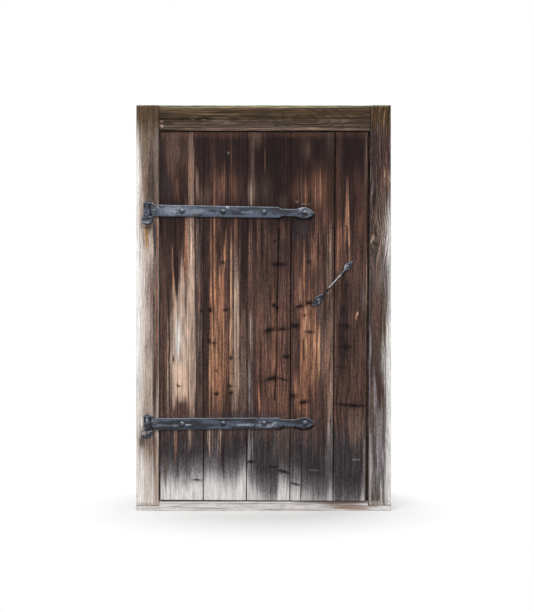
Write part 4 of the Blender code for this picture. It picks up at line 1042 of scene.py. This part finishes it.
def make_jamb(name, ends, tone, streaks, smoke, blots, bleach, bark_from, heart, contrast, sway):
    timber = Timber(name, ends, TOP - SEAT, FACE, rings=10, knots=JAMB_KNOTS, pull=0.8, sway=sway)
    age_frame(timber, tone)
    timber.draw(smoke=smoke, streak=streaks)
    bleach_edge(timber, ends[0][-1][0], bleach)
    timber.draw(blot=blots)
    drift = 0.05 * timber.comb + 0.03 * timber.fray
    timber.mix(BARK, 0.95 * smooth(bark_from, TOP - 0.06, timber.z + drift))
    grow_lichen(timber, JAMB_CRUST)
    bold = timber.front * smooth(*BOLD_HEAD, timber.z)
    contrast = CALM_CONTRAST + (contrast - CALM_CONTRAST) * bold
    timber.mottle(contrast)
    timber.wear_edges(*FRAME_WEAR)
    timber.wear = smooth(0.05, 0.5, timber.tone.mean(axis=1))
    rings = timber.rings(heart, drift=0.02, pitch=4.5 * MM, wave=0.13)
    timber.figure(rings, contrast)
    timber.piece(FRAME_WOOD, "frame", "frame_wood", rings)


def make_lintel():
    low = LINTEL_EDGE - REBATE
    flat = [(FACE + ARRIS, TOP, 0), (FACE, TOP - ARRIS, 0), (FACE, LINTEL_EDGE + ARRIS, 0)]
    flat += [(FACE + ARRIS, LINTEL_EDGE, 0), (STOP_FACE, LINTEL_EDGE, 0), (STOP_FACE, low, REBATE)]
    flat += [(BACK, low, REBATE), (BACK, TOP, REBATE), (STOP_FACE, TOP, REBATE)]
    flat.append((STOP_FACE - STEP_DEPTH, TOP, 0))
    first = [(HINGE_EDGE + JOINT_GAP + back, y, z) for y, z, back in flat]
    last = [(closing_edge(z) - JOINT_GAP - back, y, z) for y, z, back in flat]
    timber = Timber("lintel", [first, last], CLOSING_EDGE - HINGE_EDGE, FACE, lying=True)
    age_frame(timber, OLIVE * 0.55 + OXBLOOD * 0.06)
    timber.draw(streak=LINTEL_STREAKS, blot=LINTEL_BLOTS, crack=LINTEL_CRACKS)
    grow_lichen(timber, LINTEL_CRUST)
    timber.mottle(0.5)
    timber.wear_edges(*FRAME_WEAR)
    timber.wear[:] = 0.8
    rings = timber.rings((1.80, FACE + 0.09), drift=0.025, wave=0.2)
    timber.figure(rings, depth=0.2)
    timber.piece(FRAME_WOOD, "frame", "frame_wood", rings)


def cut_seats(base):
    """Lowers the ends of the sill where the jambs stand, which reach further in behind their rebates."""
    x, y, z = base.T
    edge = closing_edge(SILL_TOP)
    under_stop = (x < HINGE_EDGE + REBATE) | (x > edge - REBATE)
    under_face = (x < HINGE_EDGE) | (x > edge)
    on_riser = (np.abs(y - STOP_FACE) < NEAR) & (z > SILL_TOP - NEAR)
    climb = (z - SILL_TOP) / (SILL_STOP - SILL_TOP)
    top = np.interp(y, (FACE, SILL_NOSE_BACK, STOP_FACE), (SILL_NOSE, SILL_TOP, SILL_TOP))
    low_riser = np.where(under_face, SILL_SEAT, SILL_TOP + (SILL_SEAT - SILL_TOP) * climb)
    low_front = np.where(under_face, z * SILL_SEAT / top, z)
    lowered = np.where(y > STOP_FACE, z * SILL_SEAT / SILL_STOP, low_front)
    lowered = np.where(on_riser, low_riser, lowered)
    spread = RISER_SPREAD * (BACK - y) / (BACK - STOP_FACE)
    moved = y + np.where(on_riser, RISER_SPREAD * climb, spread)
    moved = np.where(under_face & (on_riser | (y > STOP_FACE)) & (z > 0), moved, y)
    return np.column_stack([x, moved, np.where(under_stop, lowered, z)])


def make_sill():
    flat = [(FACE, 0.0), (FACE, SILL_NOSE), (SILL_NOSE_BACK, SILL_TOP), (STOP_FACE, SILL_TOP)]
    flat += [(STOP_FACE, SILL_STOP), (BACK, SILL_STOP), (BACK, 0.0)]
    edge = closing_edge(SILL_TOP)
    length = RIGHT - LEFT
    jumps = [(x - LEFT) / length for x in (HINGE_EDGE, HINGE_EDGE + REBATE, edge - REBATE, edge)]
    ends = rail_ends(flat, LEFT, RIGHT)
    timber = Timber("sill", ends, length, FACE, jumps, lying=True, rings=6, shape=cut_seats)
    timber.tone = between(SILVER, CHALK, timber.vary((0.012, 0.02, 0.5), 71))
    timber.mix(CHALK, 0.7 * timber.front)
    timber.draw(streak=SILL_STREAKS)
    timber.mix(FAWN, 0.7 * timber.rear)
    timber.mottle(0.3)
    timber.wear_edges(reach=4 * MM, depth=1.5 * MM)
    timber.wear[:] = 0.95
    timber.piece(SILL_WOOD, "frame", "sill_wood", timber.rings((0.0, 0.0), drift=0.02))


def stud_places(name):
    """Middles of a strap's bolt heads, from in front."""
    boxes = [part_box(f"bolt_{name}_{number}") for number in BOLTS]
    return [((low[0] + high[0]) / 2, (low[2] + high[2]) / 2) for low, high in boxes]


def make_ledge(name, height):
    deep = LEAF_BACK - DOVETAIL_DEPTH
    lower = [(deep, -LEDGE_HALF - DOVETAIL_FLARE), (LEAF_BACK, -LEDGE_HALF)]
    lower += [(LEDGE_BACK - LEDGE_CHAMFER, -LEDGE_HALF), (LEDGE_BACK, -LEDGE_HALF + LEDGE_CHAMFER)]
    flat = [(y, height + z) for y, z in lower] + [(y, height - z) for y, z in lower[::-1]]
    left = HINGE_EDGE + REBATE + LEDGE_END_GAP
    right = closing_edge(height) - REBATE - LEDGE_END_GAP
    ends = rail_ends(flat, left, right)
    timber = Timber(f"ledge_{name}", ends, right - left, LEDGE_BACK, lying=True, rings=6)
    timber.tone = between(BROWN, FAWN, timber.vary((0.016, 0.02, 0.6), timber.seed))
    for x, z in stud_places(name):
        reach = np.hypot(timber.x - x, timber.z - z)
        timber.mix(PITCH * 0.7, 0.75 * smooth(34 * MM, 16 * MM, reach + 5 * MM * timber.fray))
    timber.mottle(0.45)
    timber.wear_edges(reach=5 * MM, depth=1.0 * MM)
    timber.piece(INSIDE_WOOD, "leaf", "inside_wood", timber.rings((height, 0.06), drift=0.03))


def outline(co):
    """Upper and lower edge of a lying iron at each of its points."""
    place = np.round((co[:, 0] - co[:, 0].min()) / (4 * MM)).astype(int)
    upper = np.full(place.max() + 1, -np.inf)
    lower = np.full(place.max() + 1, np.inf)
    np.maximum.at(upper, place, co[:, 2])
    np.minimum.at(lower, place, co[:, 2])
    return upper[place], lower[place]


def convexity(mesh, co, normal):
    """How sharply the surface turns outward at each point, from about -1 to 1."""
    ends = np.empty(len(mesh.edges) * 2, np.int32)
    mesh.edges.foreach_get("vertices", ends)
    a, b = ends.reshape(-1, 2).T
    step = co[a] - co[b]
    turn = np.einsum("ij,ij->i", normal[a] - normal[b], step) / np.linalg.norm(step, axis=1)
    total = np.zeros(len(co))
    count = np.zeros(len(co))
    for side in (a, b):
        np.add.at(total, side, turn)
        np.add.at(count, side, 1)
    return 2.5 * total / np.maximum(count, 1)


def softened(node, voxel):
    """A dense copy of a packed iron piece with its edges rounded."""
    work = link_object("work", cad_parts[node].data.copy())
    work.modifiers.new("weld", "WELD").merge_threshold = WELD_REACH
    skin = work.modifiers.new("skin", "REMESH")
    skin.mode = "VOXEL"
    skin.voxel_size = voxel
    soften = work.modifiers.new("soften", "SMOOTH")
    soften.factor = SOFT_SHARE
    soften.iterations = SOFT_ROUNDS
    mesh = bpy.data.meshes.new_from_object(work.evaluated_get(bpy.context.evaluated_depsgraph_get()))
    bpy.data.objects.remove(work)
    mesh.name = node
    mesh.polygons.foreach_set("use_smooth", np.ones(len(mesh.polygons), bool))
    return mesh


def forge(
    node, body, voxel, dent, blots=(), pale=0.5, rough_left=-np.inf,
    edge=(STEEL_PALE, 0.5), lit=0.15, studs=(),
):
    """A softened, hammered copy of a packed iron piece, scabbed with rust left of a given place, with
    painted highlights and shade on its upper and lower faces and edges and painted shadow round its studs.
    """
    mesh = softened(node, voxel)
    co, normal = points_of(mesh)
    x = co[:, 0]
    z = co[:, 2]
    seed = seed_of(node)
    blows = noise(co, (0.016, 0.016, 0.013), seed, 2)
    scale = noise(co, (4 * MM, 4 * MM, 4 * MM), seed + 1, 2)
    pits = smooth(0.45, 0.9, noise(co, (3 * MM, 3 * MM, 3 * MM), seed + 2, 2))
    flakes = noise(co, (8 * MM, 8 * MM, 7 * MM), seed + 4, 2)
    shade = noise(co, (0.06, 0.02, 0.012), seed + 3, 3)
    scabs = smooth(0.02, -0.01, x - rough_left)
    tone = STEEL_DARK + (STEEL - STEEL_DARK) * smooth(-0.6, 0.7, 1.2 * shade + 2 * pale - 1)[:, None]

    def lay(other, weight):
        return tone + (other - tone) * np.clip(weight, 0.0, 1.0)[:, None]

    # Blots of another tone on faces turned to the front; on the handle and the lower strap's eye these are
    # painted highlights
    for mark in blots:
        right = (x / MM - mark.x) / (mark.width / 2)
        rise = right * mark.width / 2 * math.tan(math.radians(mark.tilt))
        up = (z / MM - mark.z - rise) / (mark.height / 2)
        inside = smooth(1.3, 0.4, np.hypot(right, up) + 0.5 * scale + 0.3 * flakes)
        tone = lay(mark.tone, mark.amount * inside * smooth(0.3, 0.8, -normal[:, 1]))
    upper, lower = outline(co)
    worn = smooth(0.1, 0.8, convexity(mesh, co, normal) + 0.15 * scale)
    tone = lay(edge[0], edge[1] * worn)
    # Painted shadow: a dark ring round each bolt head on a strap
    for stud_x, stud_z in studs:
        tone = lay(STEEL_DARK * 0.5, 0.5 * smooth(21 * MM, 13 * MM, np.hypot(x - stud_x, z - stud_z)))
    # Painted light: faces turned up and to the front are lightened, faces turned down darkened, by the
    # share lit
    tone = lay(STEEL_PALE, lit * smooth(0.55, 0.95, normal @ LIT_SIDE))
    tone = lay(STEEL_DARK * 0.4, 2 * lit * smooth(0.1, 0.7, normal @ SHADED_SIDE))
    # Painted highlight along each iron's upper edge and painted shade along its lower edge
    tone = lay(STEEL_PALE, 0.45 * smooth(5 * MM, 1 * MM, upper - z + 2 * MM * scale))
    tone = lay(STEEL_DARK * 0.4, 0.75 * smooth(6 * MM, 1 * MM, z - lower + 1.5 * MM * scale))
    tone = lay(STEEL_RUST, 0.25 * smooth(0.5, 1.0, scale - 0.3 * shade))
    tone = lay(STEEL_DARK * 0.5, 0.55 * scabs * smooth(0.05, -0.45, flakes))
    tone = lay(ASH, 0.5 * scabs * smooth(0.4, 0.75, flakes + 0.25 * scale))
    tone = tone * (1 - 0.5 * pits[:, None])
    bite = dent * (0.55 + 0.4 * blows + 0.15 * scale + 0.3 * pits)
    bite = bite + 1.0 * MM * scabs * smooth(0.5, -0.6, flakes)
    co = co - normal * bite[:, None]
    add_piece(node + "_forged", mesh, co, tone, FORGED_IRON, body, node)


class Shader:
    """A node tree, built up from what it reads to what it shows."""

    def __init__(self, owner):
        owner.use_nodes = True
        self.tree = owner.node_tree
        self.tree.nodes.clear()

    def add(self, kind, inputs, **settings):
        """Adds a node, with each input linked to a socket or set to a value, and gives its outputs."""
        node = self.tree.nodes.new("ShaderNode" + kind)
        for name, value in settings.items():
            setattr(node, name, value)
        for name, value in inputs.items():
            if isinstance(value, bpy.types.NodeSocket):
                self.tree.links.new(value, node.inputs[name])
            else:
                node.inputs[name].default_value = value
        return node.outputs

    def read(self, name, output="Fac"):
        return self.add("Attribute", {}, attribute_name=name)[output]

    def place(self):
        return self.add("TexCoord", {})["Object"]

    def compute(self, operation, first, *others):
        """One operation, chained over its values."""
        if not others:
            return self.add("Math", {0: first}, operation=operation)[0]
        for other in others:
            first = self.add("Math", {0: first, 1: other}, operation=operation)[0]
        return first

    def times(self, *values):
        return self.compute("MULTIPLY", *values)

    def plus(self, *values):
        return self.compute("ADD", *values)

    def remap(self, value, low, high, to_low=0.0, to_high=1.0):
        inputs = {"Value": value, "From Min": low, "From Max": high, "To Min": to_low, "To Max": to_high}
        return self.add("MapRange", inputs)[0]

    def scaled(self, vector, amount):
        return self.add("VectorMath", {0: vector, "Scale": amount}, operation="SCALE")[0]

    def lumps(self, vector, size, detail, roughness=0.55):
        """Noise whose lumps have the given lengths, in metres."""
        stretch = tuple(1 / length for length in size)
        spot = self.add("VectorMath", {0: vector, 1: stretch}, operation="MULTIPLY")[0]
        inputs = {"Vector": spot, "Scale": 1.0, "Detail": detail, "Roughness": roughness}
        return self.add("TexNoise", inputs)[0]

    def blend(self, factor, first, second):
        """A mixture of two plain tones."""
        return self.add("Mix", {0: factor, 6: (*first, 1.0), 7: (*second, 1.0)}, data_type="RGBA")[2]

    def show(self, shader, kind="Material"):
        self.add("Output" + kind, {"Surface": shader})

    def finish(self, colour, roughness, height, relief, metallic, specular):
        bump = self.add("Bump", {"Height": height, "Strength": BUMP_STRENGTH, "Distance": relief})[0]
        inputs = {"Base Color": colour, "Roughness": roughness, "Metallic": metallic}
        inputs.update({"Specular IOR Level": specular, "Normal": bump})
        self.show(self.add("BsdfPrincipled", inputs)[0])


def wood_material(name, contrast, line, relief):
    """Bare weathered wood: fibres, growth rings and hairline checks over the painted tones."""
    material = bpy.data.materials.new(name)
    wood = Shader(material)
    grain = wood.read("grain", "Vector")
    wear = wood.read("wear")
    broad = wood.lumps(grain, (3.2 * MM, 3.2 * MM, 0.16), 4)
    fine = wood.lumps(grain, (0.9 * MM, 0.9 * MM, 0.05), 3)
    vein = wood.lumps(grain, (2.6 * MM, 2.6 * MM, 0.30), 2)
    patch = wood.lumps(grain, (0.02, 0.02, 0.09), 2)
    fleck = wood.lumps(grain, (4 * MM, 4 * MM, 0.011), 3, 0.65)
    late = wood.compute("POWER", wood.compute("FRACT", wood.read("ring")), 4.0)
    beside = wood.compute("ABSOLUTE", wood.compute("SUBTRACT", vein, 0.5))
    split = wood.times(wood.remap(beside, 0.0, 0.016, 1.0, 0.0), wood.remap(patch, 0.48, 0.62))
    least = wood.remap(wear, 0.2, 0.8, 1.0 - 1.8 * contrast, 1.0 - 0.2 * contrast)
    light = wood.times(
        wood.remap(broad, 0.3, 0.7, 1 - contrast, 1 + contrast),
        wood.remap(fine, 0.3, 0.7, 1 - 0.6 * contrast, 1 + 0.6 * contrast),
        wood.remap(late, 0.0, 1.0, 1.0 + 0.25 * line, 1.0 - line),
        wood.remap(split, 0.0, 1.0, 1.0, 0.35),
        wood.remap(fleck, 0.32, 0.55, least, 1.15),
    )
    roughness = wood.remap(wood.plus(wood.times(wear, 0.5), fine), 0.3, 1.2, 0.62, 0.95)
    height = wood.plus(wood.times(broad, 0.9), wood.times(fine, 0.4), wood.times(late, 0.35))
    height = wood.compute("SUBTRACT", height, wood.times(split, 0.8))
    colour = wood.scaled(wood.read("tone", "Color"), light)
    wood.finish(colour, roughness, height, relief, metallic=0.0, specular=0.1)
    return material


def iron_material(name, plain=None):
    """Dull forged iron: scale, pits and rubbed places over the painted tones or two plain ones."""
    material = bpy.data.materials.new(name)
    iron = Shader(material)
    spot = iron.place()
    scale = iron.lumps(spot, (5 * MM,) * 3, 4)
    pits = iron.lumps(spot, (1.6 * MM,) * 3, 3)
    cloud = iron.lumps(spot, (0.02,) * 3, 3)
    tone = iron.blend(iron.remap(cloud, 0.35, 0.65), *plain) if plain else iron.read("tone", "Color")
    light = iron.times(iron.remap(scale, 0.3, 0.7, 0.72, 1.28), iron.remap(pits, 0.3, 0.5, 0.75, 1.05))
    roughness = iron.remap(iron.plus(scale, cloud), 0.7, 1.3, 0.36, 0.62)
    height = iron.plus(iron.times(scale, 0.7), iron.times(pits, 0.4))
    iron.finish(iron.scaled(tone, light), roughness, height, relief=0.4 * MM, metallic=0.45, specular=0.5)
    return material


def peg_material():
    """End grain and side grain of a riven peg."""
    material = bpy.data.materials.new("peg_wood")
    peg = Shader(material)
    spot = peg.place()
    fibre = peg.lumps(spot, (1.2 * MM, 0.04, 1.2 * MM), 4)
    cloud = peg.lumps(spot, (0.01, 0.03, 0.01), 2)
    tone = peg.blend(peg.remap(cloud, 0.35, 0.65), BROWN, FAWN)
    colour = peg.scaled(tone, peg.remap(fibre, 0.3, 0.7, 0.6, 1.3))
    roughness = peg.remap(fibre, 0.3, 0.7, 0.7, 0.9)
    peg.finish(colour, roughness, fibre, relief=0.5 * MM, metallic=0.0, specular=0.25)
    return material


def dress_node(name, material):
    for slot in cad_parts[name].material_slots:
        slot.material = material


PLANK_WOOD = wood_material("weathered_planks", contrast=0.30, line=0.12, relief=0.7 * MM)
FRAME_WOOD = wood_material("weathered_frame", contrast=0.26, line=0.28, relief=0.9 * MM)
SILL_WOOD = wood_material("bleached_sill", contrast=0.18, line=0.18, relief=0.8 * MM)
INSIDE_WOOD = wood_material("sheltered_wood", contrast=0.24, line=0.30, relief=0.5 * MM)
FORGED_IRON = iron_material("forged_iron")
BOLT_IRON = iron_material("bolt_iron", (STEEL_DARK, STEEL))
PEG_WOOD = peg_material()

last_seam = WHOLE_SEAM
for plank_number, plank in enumerate(PLANKS, 1):
    make_plank(plank_number, plank, last_seam)
    last_seam = plank.seam_open
make_jamb(
    "hinge_jamb", jamb_ends(LEFT, hinge_edge, 1), SAND * 0.45 + SILVER * 0.45 + FAWN * 0.1,
    HINGE_JAMB_STREAKS, HINGE_JAMB_SMOKE, HINGE_JAMB_BLOTS, HINGE_JAMB_BLEACH,
    bark_from=1.70, heart=(-0.62, 0.02), contrast=0.26, sway=2 * MM,
)
make_jamb(
    "closing_jamb", jamb_ends(RIGHT, closing_edge, -1), DRIFT * 0.9 + UMBER * 0.1,
    CLOSING_JAMB_STREAKS, CLOSING_JAMB_SMOKE, CLOSING_JAMB_BLOTS, CLOSING_JAMB_BLEACH,
    bark_from=1.74, heart=(0.60, 0.03), contrast=0.75, sway=7 * MM,
)
make_lintel()
make_sill()
for ledge_name, ledge_height in LEDGE_HEIGHTS.items():
    make_ledge(ledge_name, ledge_height)

for end, strap_blots, boss_blots, strap_pale, eye_edge in (
    ("upper", UPPER_STRAP_BLOTS, UPPER_BOSS_BLOTS, 0.62, -0.49),
    ("lower", LOWER_STRAP_BLOTS, LOWER_BOSS_BLOTS, 0.36, -0.495),
):
    forge(
        f"strap_{end}", "leaf", voxel=1.1 * MM, dent=0.6 * MM, blots=strap_blots,
        pale=strap_pale, rough_left=eye_edge, studs=stud_places(end),
    )
    forge(
        f"pintle_{end}", "frame", voxel=0.9 * MM, dent=0.8 * MM, blots=boss_blots,
        rough_left=0.0,
    )
    for number in BOLTS:
        forge(
            f"bolt_{end}_{number}", "leaf", voxel=0.8 * MM, dent=0.5 * MM,
            edge=(STEEL_PALE, 0.2), lit=0.45,
        )
        dress_node(f"washer_{end}_{number}", BOLT_IRON)
        dress_node(f"nut_{end}_{number}", BOLT_IRON)
forge(
    "handle", "leaf", voxel=0.7 * MM, dent=0.3 * MM, blots=HANDLE_HIGHLIGHTS, pale=0.25,
    edge=(STEEL_DARK * 0.5, 0.7), lit=0.3,
)
for end in ("upper", "lower"):
    forge(
        f"handle_nail_{end}", "leaf", voxel=0.5 * MM, dent=0.2 * MM, pale=0.1,
        edge=(STEEL_DARK, 0.5),
    )
for end in ("hinge", "closing"):
    dress_node(f"lintel_peg_{end}", PEG_WOOD)

# Floor, white sky and soft light
AMBIENT = 0.46
PURE_WHITE = (1.0, 1.0, 1.0, 1.0)
FLOOR_TONE = (0.9, 0.9, 0.895, 1.0)
FLOOR_NEAR = 0.3
FLOOR_FAR = 0.85
FLOOR_HALF = 9.0
LAMP_PLACE = Vector((-1.0, -3.4, 4.2))
LAMP_TARGET = Vector((0.0, 0.0, 0.9))
LAMP_WIDTH = 3.2
LAMP_HEIGHT = 2.4
LAMP_POWER = 180.0
LENS_LENGTH = 76.63
SENSOR_WIDTH = 36.0
CAMERA_PLACE = (0.0157, -6.07, 0.9442)


def seen_white(shader):
    """1 for rays that see the surroundings, straight or in metal, and 0 for those that light the door."""
    path = shader.add("LightPath", {})
    rays = [path[f"Is {kind} Ray"] for kind in ("Camera", "Glossy", "Transmission")]
    return shader.compute("MAXIMUM", *rays)


def make_floor():
    material = bpy.data.materials.new("pale_floor")
    shader = Shader(material)
    position = shader.add("NewGeometry", {})["Position"]
    reach = shader.add("VectorMath", {0: position}, operation="LENGTH")["Value"]
    far = shader.times(shader.remap(reach, FLOOR_NEAR, FLOOR_FAR), seen_white(shader))
    matt = shader.add("BsdfDiffuse", {"Color": FLOOR_TONE})[0]
    white = shader.add("Emission", {"Color": PURE_WHITE, "Strength": 1.0})[0]
    shader.show(shader.add("MixShader", {0: far, 1: matt, 2: white})[0])
    mesh = bpy.data.meshes.new("floor")
    corners = [(x * FLOOR_HALF, y * FLOOR_HALF, 0.0) for x, y in ((-1, -1), (1, -1), (1, 1), (-1, 1))]
    mesh.from_pydata(corners, [], [(0, 1, 2, 3)])
    mesh.materials.append(material)
    floor = link_object("floor", mesh)


def make_sky():
    world = bpy.data.worlds.new("studio")
    shader = Shader(world)
    soft = shader.add("Background", {"Color": PURE_WHITE, "Strength": AMBIENT})[0]
    white = shader.add("Background", {"Color": PURE_WHITE, "Strength": 1.0})[0]
    shader.show(shader.add("MixShader", {0: seen_white(shader), 1: soft, 2: white})[0], "World")
    bpy.context.scene.world = world


def make_light():
    lamp = bpy.data.lights.new("sky_panel", "AREA")
    lamp.shape = "RECTANGLE"
    lamp.size = LAMP_WIDTH
    lamp.size_y = LAMP_HEIGHT
    lamp.energy = LAMP_POWER
    light = link_object("sky_panel", lamp)
    light.location = LAMP_PLACE
    light.rotation_euler = (LAMP_TARGET - LAMP_PLACE).to_track_quat("-Z", "Y").to_euler()


def make_camera():
    lens = bpy.data.cameras.new("photo")
    lens.sensor_width = SENSOR_WIDTH
    lens.lens = LENS_LENGTH
    camera = link_object("photo", lens)
    camera.location = CAMERA_PLACE
    camera.rotation_euler = (math.pi / 2, 0.0, 0.0)
    bpy.context.scene.camera = camera


make_floor()
make_sky()
make_light()
make_camera()
bpy.context.scene.view_settings.view_transform = "Standard"
